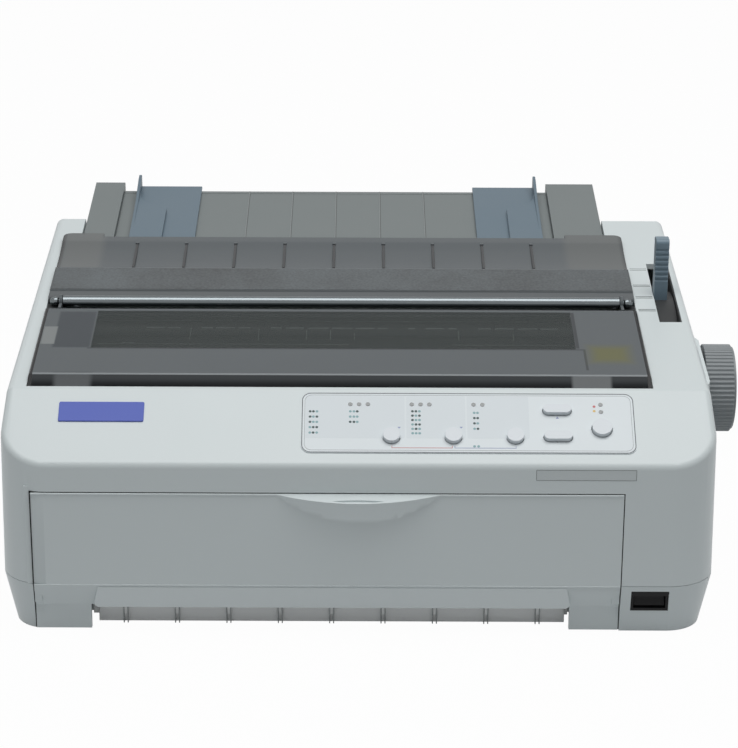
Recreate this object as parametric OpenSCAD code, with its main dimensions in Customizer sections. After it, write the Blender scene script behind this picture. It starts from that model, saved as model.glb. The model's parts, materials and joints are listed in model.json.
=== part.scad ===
/* [Case] */
// Width of the case at the seam between its two halves
case_w = 393; // [388:1:404]
// Depth of the case from the front face to the rear wall
case_d = 286; // [282:1:300]
// Wall thickness of the case and the covers
wall = 2.8; // [2.4:0.1:3.2]
// Radius of the front corners seen from above
corner_r = 26; // [20:1:28]
// How much narrower the case is at the top than at the seam, each side
draft = 1.6; // [0.5:0.1:2.4]
// How much narrower the case is at the rear than at the front, each side
rear_taper = 3; // [1:0.5:4]
// Rounding of the long top edges
edge_r = 4.5; // [3:0.5:6]
// Height of the seam between the upper and the lower case
seam_z = 30.2; // [28:0.2:32]
// Height of the crease under the seam
crease_z = 16; // [14:0.5:18]
// How far the lower walls stand in from the upper walls
step_in = 6; // [4:0.5:8]
// Height of the rubber feet
foot_h = 3; // [2:0.5:3.5]
// Radius of each foot
foot_r = 9; // [6:1:12]

/* [Top line] */
// Height of the front top edge
front_top_z = 104.3; // [102:0.5:108]
// Depth at which the front slope ends
break_y = 44.9; // [42:0.5:48]
// Height at which the front slope ends
break_z = 129.5; // [127:0.5:132]
// Height of the rear top edge
rear_top_z = 155.1; // [153:0.5:158]

/* [Smoked cover] */
// Width of the case left of the covers
cover_left_margin = 13.5; // [10.5:0.5:15.5]
// Width of the case right of the covers
cover_right_margin = 34.5; // [32.5:0.5:38.5]
// Depth of the case behind the covers
rear_ledge = 34; // [32:1:40]
// How far the cover stands above the case
cover_rise = 3.6; // [2:0.2:4]
// Wall thickness of the smoked parts
cover_wall = 2; // [1.6:0.1:2.4]
// Depth of the seat that the cover rests on
seat_depth = 1.2; // [0.8:0.1:1.4]
// Width of the seat that the cover rests on
seat_w = 4; // [3:0.5:5]
// Distance from the rear cover's front edge forward to the hinge rod
rod_ahead = 13.5; // [12.5:0.5:16]
// Radius of the hinge rod
rod_r = 3.5; // [3:0.1:4]
// Radius of the rod's thin necks
neck_r = 1.8; // [1.5:0.1:2.1]
// Length of the rear cover
rear_cover_len = 85; // [82:0.5:88]
// Number of ribs in the rear cover's trough
cover_ribs = 9; // [5:1:11]
// Distance from rib to rib
cover_rib_pitch = 30.2; // [24:0.2:30.6]

/* [Paper guide] */
// Distance from the covers' left edge to the paper guide
guide_left_inset = 11; // [9:0.5:15]
// Distance from the covers' right edge to the paper guide
guide_right_inset = 10; // [9:0.5:14]
// How far the paper guide reaches behind the case
guide_reach = 64; // [50:1:74]
// Width of the left wing
left_wing_w = 19; // [15:1:24]
// Width of the right wing
right_wing_w = 30.7; // [26:0.5:34]
// Thickness of the wings
wing_t = 8; // [7:0.5:9]
// How far the middle panel lies below the wings
panel_drop = 3.6; // [3:0.2:4.4]
// Width of each edge guide
edge_guide_w = 40.8; // [36:0.5:44]
// Distance from the paper guide's left edge to the left edge guide
left_guide_inset = 28.6; // [26:0.2:36]
// Distance from the paper guide's right edge to the right edge guide
right_guide_inset = 37.8; // [36:0.2:46]
// Height of the fin above its edge guide
fin_h = 7; // [5:0.5:9]

/* [Front cover] */
// Width of the case left of the front cover
door_left_margin = 18.8; // [17:0.2:22]
// Width of the case right of the front cover
door_right_margin = 52.7; // [51.5:0.2:56]
// Top edge of the front cover
door_top = 84.6; // [80:0.5:88]
// Gap round the front cover
door_gap = 0.6; // [0.4:0.1:0.8]
// Thickness of the front cover
door_t = 3; // [2.4:0.1:3.4]
// Depth of the front cover's hinge
hinge_y = 10; // [9:0.5:11]
// Height of the front cover's hinge
hinge_z = 18.5; // [17.6:0.1:20]
// Radius of the hinge pins
hinge_pin_r = 2; // [1.5:0.1:2.4]
// Half width of the finger lip at the front cover's top edge
lip_w = 46; // [36:0.5:50]
// Height of the finger lip on the front cover's face
lip_h = 18; // [14:0.5:22]
// How far the finger lip stands out
lip_out = 8; // [5:0.5:8]
// Distance from the front cover's left edge to the paper cut-out under it
cutout_left_inset = 30.5; // [28:0.5:38]
// Distance from the front cover's right edge to the paper cut-out under it
cutout_right_inset = 27.1; // [25:0.5:34]

/* [Control panel] */
// Width of the case right of the control panel
panel_right_margin = 46.1; // [42:0.5:48]
// Width of the control panel
panel_w = 181.6; // [180:0.2:186]
// Distance from the front edge up the slope to the panel
panel_low = 2.6; // [2:0.2:4]
// Height of the panel along the slope
panel_len = 41; // [38:0.5:42]
// Radius of the round buttons
button_r = 4.65; // [4:0.05:5]
// Radius of the pause button
pause_r = 5.4; // [4.5:0.1:6]
// Half length of the long buttons
pill_w = 7.7; // [7:0.1:8.4]
// Radius of the long buttons' ends
pill_r = 2.9; // [2.4:0.1:3.2]
// How far the buttons stand above the panel
button_rise = 2.6; // [2:0.1:3]
// Travel of the buttons
button_travel = 1.2; // [0.8:0.1:1.4]
// Clearance round the buttons
button_gap = 0.4; // [0.3:0.05:0.5]
// Radius of each indicator lamp
lamp_r = 1.25; // [1:0.05:1.4]

/* [Knob, platen and gears] */
// Depth of the platen's axis
platen_y = 107; // [105:0.5:109]
// Height of the platen's axis
platen_z = 107.6; // [106:0.2:108.4]
// Radius of the rubber platen
platen_r = 14; // [12:0.5:14.4]
// Radius of the platen's shaft
platen_shaft_r = 4; // [3:0.5:5]
// Radius of the paper feed knob
knob_r = 25; // [22:0.5:25.4]
// Width of the paper feed knob
knob_w = 19.4; // [16:0.2:21]
// Number of flutes round the knob
knob_flutes = 60; // [40:4:72]
// Size of the gear teeth, pitch diameter for each tooth
gear_m = 1.25; // [1.2:0.01:1.26]
// Width of the gears
gear_w = 5; // [4:0.5:6]
// Radius of the pins that carry the idler gears
gear_pin_r = 2.5; // [2:0.1:3]
// Clearance of the running fits, on the radius
running = 0.05; // [0.02:0.01:0.1]
// Clearance between neighbours that don't run on each other
gap = 0.4; // [0.3:0.05:0.5]

/* [Mechanism] */
// Distance from the covers' left edge to the left side frame
frame_left_inset = 15; // [14:0.5:17]
// Distance from the covers' right edge to the right side frame
frame_right_inset = 10; // [9:0.5:12]
// Thickness of the sheet steel frames
sheet = 2; // [1.5:0.1:2.5]
// Height of the base frame's underside
base_z = 32; // [31.5:0.5:34]
// Depth of the base frame's front edge
base_front_y = 48; // [47:0.5:50]
// Depth of the base frame's rear edge
base_rear_y = 214; // [213:0.5:216]
// Depth of the guide shaft
guide_shaft_y = 70; // [69:0.5:71]
// Height of the guide shaft
guide_shaft_z = 82; // [81:0.5:83]
// Radius of the guide shaft
guide_shaft_r = 5; // [4:0.5:6]
// Distance from the left side frame to the middle of the carriage at home
carriage_home = 40; // [38:1:48]
// Half width of the carriage
carriage_hw = 15; // [13:0.5:16]
// Half width of the print head
head_hw = 13; // [11:0.5:13]
// Pitch radius of the belt pulleys
pulley_r = 8; // [6:0.5:9]
// Depth of the release lever's pivot
lever_y = 173; // [171:0.5:175]
// Height of the release lever's pivot
lever_z = 72; // [70:0.5:76]
// Width of the case right of the release lever's left face
lever_margin = 21.1; // [20.5:0.1:21.5]
// Width of the release lever
lever_w = 7.8; // [7:0.2:8.2]
// Height of the release lever above its pivot
lever_h = 104; // [98:1:108]
// Half depth of the lever's grip
lever_hd = 5; // [4:0.5:6]
// Turn of the release lever towards the front, degrees
lever_front_turn = 26; // [22:1:27]
// Turn of the release lever towards the rear, degrees
lever_rear_turn = 23.5; // [20:0.5:25]
// Distance from the left side frame to the left tractor
left_tractor_inset = 28; // [24:1:38]
// Distance from the right side frame to the right tractor
right_tractor_inset = 40; // [34:1:52]
// Width of each tractor
tractor_w = 20; // [16:1:24]

/* [Electrical parts] */
// Distance from the front cover to the power switch
switch_gap = 6.2; // [5.2:0.2:8]
// Width of the power switch
switch_w = 20.8; // [18:0.4:22]
// Underside of the power switch
switch_low = 14.6; // [14:0.2:15]
// Height of the power switch
switch_h = 12.4; // [11:0.2:12.8]
// Width of the mains inlet
inlet_w = 27; // [24:1:30]
// Height of the mains inlet
inlet_h = 20; // [18:1:22]

/* [Hidden] */

// Places across the printer, from the middle of the case
cover_left = -case_w / 2 + cover_left_margin;
cover_right = case_w / 2 - cover_right_margin;
guide_left = cover_left + guide_left_inset;
guide_right = cover_right - guide_right_inset;
left_guide_x = guide_left + left_guide_inset;
right_guide_x = guide_right - right_guide_inset - edge_guide_w;
door_left = -case_w / 2 + door_left_margin;
door_right = case_w / 2 - door_right_margin;
cutout_left = door_left + cutout_left_inset;
cutout_right = door_right - cutout_right_inset;
panel_right = case_w / 2 - panel_right_margin;
panel_left = panel_right - panel_w;
frame_left = cover_left + frame_left_inset;
frame_right = cover_right - frame_right_inset;
carriage_x = frame_left + carriage_home;
lever_x = case_w / 2 - lever_margin;
left_tractor_x = frame_left + left_tractor_inset;
right_tractor_x = frame_right - right_tractor_inset - tractor_w;
switch_left = door_right + switch_gap;

// Places in depth, from the front face
cover_rear_y = case_d - rear_ledge;
rear_cover_y = cover_rear_y - rear_cover_len;
rod_y = rear_cover_y - rod_ahead;
guide_rear_y = case_d + guide_reach;

// The printer's own frame puts the middle of its footprint at the origin. The sizes above are
// measured from the middle of the case, its front face and the floor.
knob_clear = 1.9;
knob_face_x = case_w / 2 + knob_clear;
overall_right = knob_face_x + knob_w;
module on_footprint() {
    translate([(case_w / 2 - overall_right) / 2, (lip_out - guide_rear_y) / 2, 0]) children();
}

cut = 1;
floor_z = foot_h;
foot_sink = 0.8;
boss_r = 4.5;
screw_r = 1.6;

// The top line of the case, and the slopes of its two stretches
top_line = [[0, front_top_z], [edge_r, front_top_z], [break_y, break_z], [case_d, rear_top_z]];
function top_z(y) = lookup(y, top_line);
front_angle = atan2(break_z - front_top_z, break_y - edge_r);
cover_slope = (rear_top_z - break_z) / (case_d - break_y);
cover_angle = atan(cover_slope);

// Places a drawing in depth and height and pulls it out along the width
module across(x0, x1) {
    translate([x0, 0, 0]) rotate([90, 0, 90]) linear_extrude(x1 - x0) children();
}
// A shaft along the width
module shaft(x0, x1, y, z, r) {
    across(x0, x1) translate([y, z]) circle(r, $fn = 64);
}
// A box between two corners
module block(low, high) {
    translate(low) cube(high - low);
}
// The front slope as a frame: x across, y up the slope, z out of it
module on_slope() {
    translate([0, edge_r, front_top_z]) rotate([front_angle, 0, 0]) children();
}
// The plane of the covers as a frame: x across, y back along it, z out of it
module on_cover_plane(y = 0) {
    translate([0, y, top_z(y)]) rotate([cover_angle, 0, 0]) children();
}

// The case as one rounded solid, drawn in by a wall
function half_w(y, z) = case_w / 2 - draft * (z - seam_z) / (front_top_z - seam_z)
    - rear_taper * y / case_d;
puck_y = corner_r * cos(front_angle) - edge_r * (cos(front_angle) + sin(front_angle) - 1);
module corner_puck() {
    rotate_extrude($fn = 48) {
        translate([0, -2 * edge_r]) square([corner_r, edge_r]);
        translate([0, -edge_r]) square([corner_r - edge_r, edge_r]);
        intersection() {
            translate([corner_r - edge_r, -edge_r]) circle(edge_r, $fn = 24);
            translate([0, -edge_r]) square([corner_r, edge_r]);
        }
    }
}
module rounded_body() {
    hull() {
        for (side = [-1, 1]) {
            translate([side * (half_w(0, front_top_z) - corner_r), puck_y, top_z(puck_y)])
                rotate([front_angle, 0, 0]) corner_puck();
            translate([side * (case_w / 2 - corner_r), corner_r, seam_z])
                cylinder(cut, corner_r, corner_r, $fn = 48);
            translate([side * (half_w(break_y, break_z) - edge_r), break_y, break_z - edge_r])
                sphere(edge_r, $fn = 24);
            translate([side * (half_w(case_d, rear_top_z) - edge_r),
                    case_d - edge_r, rear_top_z - edge_r])
                sphere(edge_r, $fn = 24);
            translate([side * (case_w / 2 - rear_taper - edge_r), case_d - edge_r, seam_z])
                cylinder(cut, edge_r, edge_r, $fn = 24);
        }
    }
}
// The case's plan outline, drawn in by a distance
module plan(inset) {
    front = case_w / 2 - inset;
    rear = case_w / 2 - rear_taper - inset;
    r = corner_r - inset;
    difference() {
        polygon([
            [-front, inset], [front, inset], [front, corner_r],
            [rear, case_d - inset], [-rear, case_d - inset], [-front, corner_r]
        ]);
        for (side = [-1, 1])
            translate([side * (front - r), inset + r]) difference() {
                translate([side > 0 ? 0 : -r - cut, -r - cut]) square(r + cut);
                circle(r, $fn = 96);
            }
    }
}
// The hollow inside the case
module hollow() {
    intersection() {
        translate([0, 0, floor_z + wall]) linear_extrude(case_d) plan(wall + draft + step_in / 4);
        across(-case_w, case_w) polygon([
            [wall, 0], [wall, front_top_z - wall], [edge_r + wall / 2, front_top_z - wall],
            [break_y, break_z - wall * 1.15], [case_d - wall, top_z(case_d - wall) - wall],
            [case_d - wall, 0]
        ]);
    }
}

// Opening under the covers and bay of the paper guide
open_left = cover_left + seat_w;
open_right = cover_right - seat_w;
open_front = break_y + seat_w;
guide_front_y = cover_rear_y + 7;
guide_pin_r = 3;
guide_pin_at = [4, -4];
guide_pin_out = 4;
function guide_y(s, t) = guide_front_y + s * cos(cover_angle) - t * sin(cover_angle);
function guide_z(s, t) = top_z(guide_front_y) - guide_sink + s * sin(cover_angle)
    + t * cos(cover_angle);
guide_pin_y = guide_y(guide_pin_at[0], guide_pin_at[1]);
guide_bay_left = guide_left - door_gap;
guide_bay_right = guide_right + door_gap;
bay_front_y = cover_rear_y - seat_w;
guide_sink = 1.6;
guide_pin_z = guide_z(guide_pin_at[0], guide_pin_at[1]);
bay_z = rear_top_z - guide_sink - wing_t - 2 * gap;

// Slot of the release lever, as long as the lever's turn needs
slot_left = lever_x - 1.3;
slot_right = lever_x + lever_w + 3.9;
function lever_reach(turn) = (rear_top_z - lever_z) * tan(turn) + lever_hd / cos(turn) + gap;
slot_front = lever_y - lever_reach(lever_front_turn) + 5;
slot_rear = lever_y + lever_reach(lever_rear_turn);

lever_shaft_r = 3;
knob_hub_r = 6;
knob_hole_r = knob_hub_r + 1;
door_low = 1.5;
door_cheek = 12;
seam_gap = 0.3;
label_x = [case_w / 2 - 100.7, case_w / 2 - 46.5];
label_z = [front_top_z - 11.4, front_top_z - 5.2];
engraving = 0.3;
nameplate_x = [cover_left + 19.3, cover_left + 65.8];
nameplate_y = [23.8, 36.2];
nameplate_t = 1;
panel_t = 1.6;
panel_sink = 1;
panel_corner = 5;

// The outline of a plate with rounded corners
module slope_plate(x0, x1, y0, y1, r) {
    translate([x0 + r, y0]) square([x1 - x0 - 2 * r, y1 - y0]);
    translate([x0, y0 + r]) square([x1 - x0, y1 - y0 - 2 * r]);
    for (x = [x0 + r, x1 - r], y = [y0 + r, y1 - r]) translate([x, y]) circle(r, $fn = 48);
}

function on_panel(right, up) = [panel_left + right, panel_low + up];
round_buttons = [for (x = [49, 82.6, 116.2]) on_panel(x, 10.9)];
pause_at = on_panel(163.4, 16.6);
load_at = on_panel(139.4, 28.9);
line_at = on_panel(139.4, 10.9);
lamps = concat(
    [for (x = [26.6, 31.4, 36.2, 60.2, 65, 69.8, 94, 98.8]) on_panel(x, 32.9)],
    [on_panel(163.4, 33.2), on_panel(163.4, 28.2)]
);
module pill(r, w) {
    translate([-w + r, -r]) square([2 * (w - r), 2 * r]);
    for (side = [-1, 1]) translate([side * (w - r), 0]) circle(r, $fn = 48);
}
module button_holes(grow) {
    for (p = round_buttons) translate(p) circle(button_r + grow, $fn = 64);
    translate(pause_at) circle(pause_r + grow, $fn = 64);
    for (p = [load_at, line_at]) translate(p) pill(pill_r + grow, pill_w + grow);
}

// The knob stands in a shallow swelling of the right wall
swell = 1.6;
swell_front = platen_y - 45;
swell_rear = platen_y + 15;
module knob_swelling() {
    x = half_w(platen_y, platen_z) - 2;
    intersection() {
        translate([0, 0, seam_z + seam_gap]) linear_extrude(case_d) polygon([
            [x, swell_front - 10], [x + 2 + swell, swell_front],
            [x + 2 + swell, swell_rear - 4], [x, swell_rear + 4]
        ]);
        across(x - cut, case_w) polygon([
            [swell_front - 10, seam_z], [swell_rear + 4, seam_z],
            [swell_rear + 4, top_z(swell_rear) - edge_r], [swell_front - 10, top_z(swell_front) - edge_r]
        ]);
    }
}

module door_opening(grow) {
    block([door_left - grow, -cut, -cut], [door_right + grow, door_cheek, door_top + grow]);
}

module upper_case() color([0.82, 0.84, 0.86]) difference() {
    union() {
        intersection() {
            difference() {
                rounded_body();
                hollow();
            }
            block([-case_w, -cut, seam_z + seam_gap], [case_w, case_d + cut, rear_top_z + cut]);
        }
        knob_swelling();
        // Cheeks beside the front cover
        for (x = [door_left - door_gap - wall, door_right + door_gap])
            block([x, wall / 2, seam_z + seam_gap], [x + wall, door_cheek, door_top + wall]);
        // Lintel over the front cover
        block([door_left - door_gap - wall, wall / 2, door_top + door_gap],
            [door_right + door_gap + wall, door_cheek, door_top + door_gap + wall]);
        // Bosses that take the case screws, tied to the side walls
        for (p = screw_places) {
            side = sign(p[0]);
            translate([p[0], p[1], seam_z + seam_gap])
                cylinder(boss_top - seam_z, boss_r, boss_r, $fn = 48);
            block([min(p[0], side * (case_w / 2 - wall)), p[1] - 1, seam_z + seam_gap],
                [max(p[0], side * (case_w / 2 - wall)), p[1] + 1, boss_top]);
        }
        // Posts that carry the panel board
        on_slope() for (p = board_posts)
            translate([p[0], p[1], -board_drop]) cylinder(board_drop - wall / 2, 3, 3, $fn = 32);
        // Inner walls of the corner blocks that carry the paper guide's pins
        for (x = [guide_bay_left - wall, guide_bay_right])
            across(x, x + wall) polygon([
                [bay_front_y, bay_z - 30], [case_d - wall / 2, bay_z - 30],
                [case_d - wall / 2, rear_top_z - wall / 2],
                [bay_front_y, top_z(bay_front_y) - wall / 2]
            ]);
    }
    door_opening(door_gap);
    for (p = screw_places)
        translate([p[0], p[1], seam_z]) cylinder(boss_top - seam_z + cut, screw_r, screw_r, $fn = 32);
    // Opening under the covers and the seat round it
    block([open_left, open_front, break_z - 30], [open_right, bay_front_y, rear_top_z + cut]);
    translate([0, 0, -seat_depth]) across(cover_left, cover_right) polygon([
        [break_y, break_z], [cover_rear_y, top_z(cover_rear_y)],
        [cover_rear_y, rear_top_z + 2 * wall], [break_y, break_z + 2 * wall]
    ]);
    // Bay of the paper guide
    block([guide_bay_left, bay_front_y, bay_z], [guide_bay_right, case_d + cut, rear_top_z + cut]);
    block([guide_bay_left, bay_front_y, bay_z - 20],
        [guide_bay_right, case_d - wall, rear_top_z + cut]);
    for (x = [guide_left, guide_right])
        shaft(x - 8, x + 8, guide_pin_y, guide_pin_z, guide_pin_r + running);
    // Slot of the release lever
    block([slot_left, slot_front, break_z - 20], [slot_right, slot_rear, rear_top_z + cut]);
    // Hole for the knob's hub
    shaft(guide_right + 2 * wall, case_w, platen_y, platen_z, knob_hole_r);
    // Recess and holes of the control panel, recess of the nameplate
    on_slope() {
        translate([0, 0, -panel_sink]) linear_extrude(cut + panel_sink)
            slope_plate(panel_left, panel_right, panel_low, panel_low + panel_len, panel_corner);
        translate([0, 0, -4 * wall]) linear_extrude(4 * wall) button_holes(button_gap + 0.4);
        for (p = lamps)
            translate([p[0], p[1], -4 * wall]) cylinder(4 * wall, lamp_r + gap, lamp_r + gap, $fn = 32);
        translate([0, 0, -nameplate_t / 2]) linear_extrude(cut)
            slope_plate(nameplate_x[0], nameplate_x[1], nameplate_y[0], nameplate_y[1], 0.5);
    }
    // Thin engraved frame for a label on the front face
    difference() {
        block([label_x[0], -cut, label_z[0]], [label_x[1], engraving, label_z[1]]);
        block([label_x[0] + engraving, -2 * cut, label_z[0] + engraving],
            [label_x[1] - engraving, 2 * engraving, label_z[1] - engraving]);
    }
    vents();
}

// Slits in the rear of the left wall and in the rear wall
vent_count = 12;
vent_pitch = 6;
vent_w = 2.4;
vent_z = [60, 86];
vent_y = case_d - 96;
module vents() {
    for (i = [0 : vent_count - 1]) {
        block([-case_w, vent_y + i * vent_pitch, vent_z[0]],
            [-case_w / 2 + 3 * wall, vent_y + i * vent_pitch + vent_w, vent_z[1]]);
        block([-20 + i * vent_pitch, case_d - 2 * wall, vent_z[0]],
            [-20 + i * vent_pitch + vent_w, case_d + cut, vent_z[1]]);
    }
}

// Screws hold the two halves together at four bosses inside the corners
boss_top = seam_z + 12;
screw_x = case_w / 2 - 15.5;
screw_places = [for (x = [-screw_x, screw_x], y = [corner_r + 10, case_d - 24]) [x, y]];
board_drop = 8.8;
board_posts = [
    for (x = [panel_left + 12, panel_right - 8], y = [3.4, panel_len - 6.6]) [x, panel_low + y]
];
foot_x = case_w / 2 - 32.5;
foot_places = [for (x = [-foot_x, foot_x], y = [corner_r + 20, case_d - 34]) [x, y]];

// What the lower case carries
door_wall_y = 30;
strip_left = cutout_left + 3.2;
strip_right = cutout_right - 1.9;
strip_y = 15.4;
strip_t = 2;
strip_low = 3.2;
strip_top = 14.8;
inlet_x = case_w / 2 - 96.5;
inlet_z = 19;
inlet_front_y = case_d - 24;
board_z = 12;
board_t = 1.6;
board_left = frame_left + 28;
board_right = board_left + 110;
board_front = 60;
board_rear = case_d - step_in - wall - gap;
port_h = 12;
port_deep = 24;
ports = [[board_left + 6, 54], [board_left + 74, 12]];
post_places = [
    for (x = [frame_left + 14, frame_right - 10], y = [base_front_y + 12, base_rear_y - 12]) [x, y]
];
board_feet = [
    for (x = [board_left + 6, board_right - 6], y = [board_front + 10, board_rear - 15]) [x, y]
];
switch_y = 3;
switch_deep = 14;
carrier_x = lever_x - 9;
carrier_w = 4;

module lower_body() {
    hull() {
        translate([0, 0, seam_z - cut]) linear_extrude(cut) plan(0);
        translate([0, 0, crease_z]) linear_extrude(cut) plan(step_in);
        translate([0, 0, floor_z]) linear_extrude(cut) plan(step_in);
    }
}
module lower_case() color([0.70, 0.73, 0.74]) difference() {
    union() {
        difference() {
            lower_body();
            translate([0, 0, floor_z + wall]) linear_extrude(case_d) plan(step_in + wall);
            // Room for the front cover and its swing
            block([door_left - door_gap, -cut, -cut],
                [door_right + door_gap, door_wall_y, seam_z + cut]);
        }
        // Front wall behind the front cover and cheeks beside it
        block([door_left - door_gap - wall, door_wall_y, floor_z],
            [door_right + door_gap + wall, door_wall_y + wall, seam_z]);
        intersection() {
            lower_body();
            for (x = [door_left - door_gap - wall, door_right + door_gap])
                block([x, 0, floor_z], [x + wall, door_wall_y + wall, seam_z]);
        }
        // Shelf that carries the ribbed paper strip
        block([strip_left, strip_y + strip_t, floor_z],
            [strip_right, door_wall_y + wall, floor_z + wall]);
        block([strip_left, strip_y + strip_t, floor_z],
            [strip_right, strip_y + strip_t + wall, strip_top + 7]);
        // Foot pads, screw bosses, posts under the base frame and under the main board
        for (p = foot_places)
            translate([p[0], p[1], floor_z]) cylinder(wall + 1, foot_r, foot_r, $fn = 64);
        for (p = screw_places)
            translate([p[0], p[1], floor_z]) cylinder(seam_z - floor_z, boss_r, boss_r, $fn = 48);
        for (p = post_places)
            translate([p[0], p[1], floor_z]) cylinder(base_z - floor_z, boss_r, boss_r, $fn = 48);
        for (p = board_feet)
            translate([p[0], p[1], floor_z]) cylinder(board_z - floor_z, 3, 3, $fn = 32);
        // Ledge under the power switch
        block([switch_left - wall, step_in + wall / 2, floor_z],
            [switch_left + switch_w + wall, switch_y + switch_deep + wall, switch_low]);
        // Post that carries the release lever's shaft
        block([carrier_x, lever_y - 8, floor_z], [carrier_x + carrier_w, lever_y + 8, lever_z + 8]);
    }
    for (p = foot_places)
        translate([p[0], p[1], floor_z - cut])
            cylinder(cut + foot_sink, foot_r - 1, foot_r - 1, $fn = 64);
    for (p = screw_places)
        translate([p[0], p[1], floor_z - cut])
            cylinder(seam_z, screw_r + running, screw_r + running, $fn = 32);
    for (x = [door_left - door_gap - wall - cut, door_right + door_gap - cut])
        shaft(x, x + wall + 2 * cut, hinge_y, hinge_z, hinge_pin_r);
    shaft(carrier_x - cut, carrier_x + carrier_w + cut, lever_y, lever_z, lever_shaft_r + running);
    block([switch_left, -cut, switch_low],
        [switch_left + switch_w, switch_y + switch_deep, switch_low + switch_h]);
    block([inlet_x - inlet_w / 2, inlet_front_y, inlet_z - inlet_h / 2],
        [inlet_x + inlet_w / 2, case_d + cut, inlet_z + inlet_h / 2]);
    for (p = ports)
        block([p[0] - gap, case_d - 6 * wall, board_z + board_t],
            [p[0] + p[1] + gap, case_d + cut, board_z + board_t + port_h + gap]);
}

module rubber_feet() color([0.2, 0.2, 0.2])
    for (p = foot_places)
        translate([p[0], p[1], 0]) cylinder(floor_z + foot_sink, foot_r - 1.3, foot_r - 1.3, $fn = 64);
screw_head = 1.5;
module case_screws() color([0.5, 0.5, 0.5])
    for (p = screw_places) translate([p[0], p[1], floor_z - screw_head]) {
        cylinder(boss_top - floor_z, screw_r, screw_r, $fn = 32);
        cylinder(screw_head, screw_r + 1.2, screw_r + 1.2, $fn = 32);
    }

// Control panel, lamps and buttons, drawn in the frame of the front slope
panel_top = panel_t - panel_sink;
button_top = panel_top + button_rise;
board_top = -board_drop;
contact_h = 2.4;
flange_t = 1;
flange_top = -3.8;
module nameplate() color([0.42, 0.46, 0.75])
    on_slope() translate([0, 0, -nameplate_t / 2]) linear_extrude(nameplate_t)
        slope_plate(nameplate_x[0], nameplate_x[1], nameplate_y[0], nameplate_y[1], 0.5);
module control_panel() color([0.88, 0.91, 0.91])
    on_slope() translate([0, 0, -panel_sink]) linear_extrude(panel_t) difference() {
        slope_plate(panel_left, panel_right, panel_low, panel_low + panel_len, panel_corner);
        button_holes(button_gap);
        for (p = lamps) translate(p) circle(lamp_r, $fn = 32);
    }
module panel_board() color([0.2, 0.42, 0.3])
    on_slope() {
        translate([0, 0, board_top - board_t]) linear_extrude(board_t)
            translate([panel_left, panel_low]) square([panel_right - panel_left, panel_len - 3]);
        for (p = concat(round_buttons, [pause_at, load_at, line_at]))
            translate([p[0], p[1], board_top]) cylinder(contact_h, 2.4, 2.4, $fn = 32);
    }
module indicator_lamps() color([0.5, 0.5, 0.45])
    on_slope() for (p = lamps)
        translate([p[0], p[1], board_top]) cylinder(panel_top - board_top + 0.2, lamp_r, lamp_r, $fn = 32);
// A button stands over its contact, with a flange under the case that holds it in
module button(at) {
    low = board_top + contact_h + button_travel;
    on_slope() translate([at[0], at[1], 0]) {
        translate([0, 0, low]) linear_extrude(button_top - low) children(0);
        translate([0, 0, flange_top - flange_t]) linear_extrude(flange_t) children(1);
    }
}
flange_w = 1.3;
module round_button(at, r) color([0.86, 0.88, 0.89]) button(at) {
    circle(r, $fn = 64);
    circle(r + flange_w, $fn = 64);
}
module long_button(at) color([0.86, 0.88, 0.89]) button(at) {
    pill(pill_r, pill_w);
    pill(pill_r + flange_w, pill_w + flange_w);
}
module font_button() round_button(round_buttons[0], button_r);
module pitch_button() round_button(round_buttons[1], button_r);
module tear_off_button() round_button(round_buttons[2], button_r);
module pause_button() round_button(pause_at, pause_r);
module load_eject_button() long_button(load_at);
module line_feed_button() long_button(line_at);

// Power switch in its opening
bezel_rim = 1.6;
rocker_pin_r = 1.2;
rocker_y = switch_y + 9;
rocker_z = switch_low + switch_h / 2;
module switch_bezel() color([0.08, 0.08, 0.08]) difference() {
    block([switch_left, switch_y, switch_low],
        [switch_left + switch_w, switch_y + switch_deep, switch_low + switch_h]);
    block([switch_left + bezel_rim, 0, switch_low + bezel_rim],
        [switch_left + switch_w - bezel_rim, switch_y + switch_deep - bezel_rim,
            switch_low + switch_h - bezel_rim]);
    shaft(switch_left + bezel_rim / 2, switch_left + switch_w - bezel_rim / 2,
        rocker_y, rocker_z, rocker_pin_r + running);
}
module power_rocker() color([0.05, 0.05, 0.05]) {
    half_h = switch_h / 2 - bezel_rim - gap;
    across(switch_left + bezel_rim + gap, switch_left + switch_w - bezel_rim - gap) polygon([
        [switch_y + 1.4, rocker_z - half_h + 0.6], [switch_y + 2.6, rocker_z],
        [switch_y + 1.4, rocker_z + half_h - 0.6], [rocker_y + 2, rocker_z + half_h - 1.2],
        [rocker_y + 2, rocker_z - half_h + 1.2]
    ]);
    shaft(switch_left + bezel_rim / 2 + gap / 2, switch_left + switch_w - bezel_rim / 2 - gap / 2,
        rocker_y, rocker_z, rocker_pin_r);
}

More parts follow.
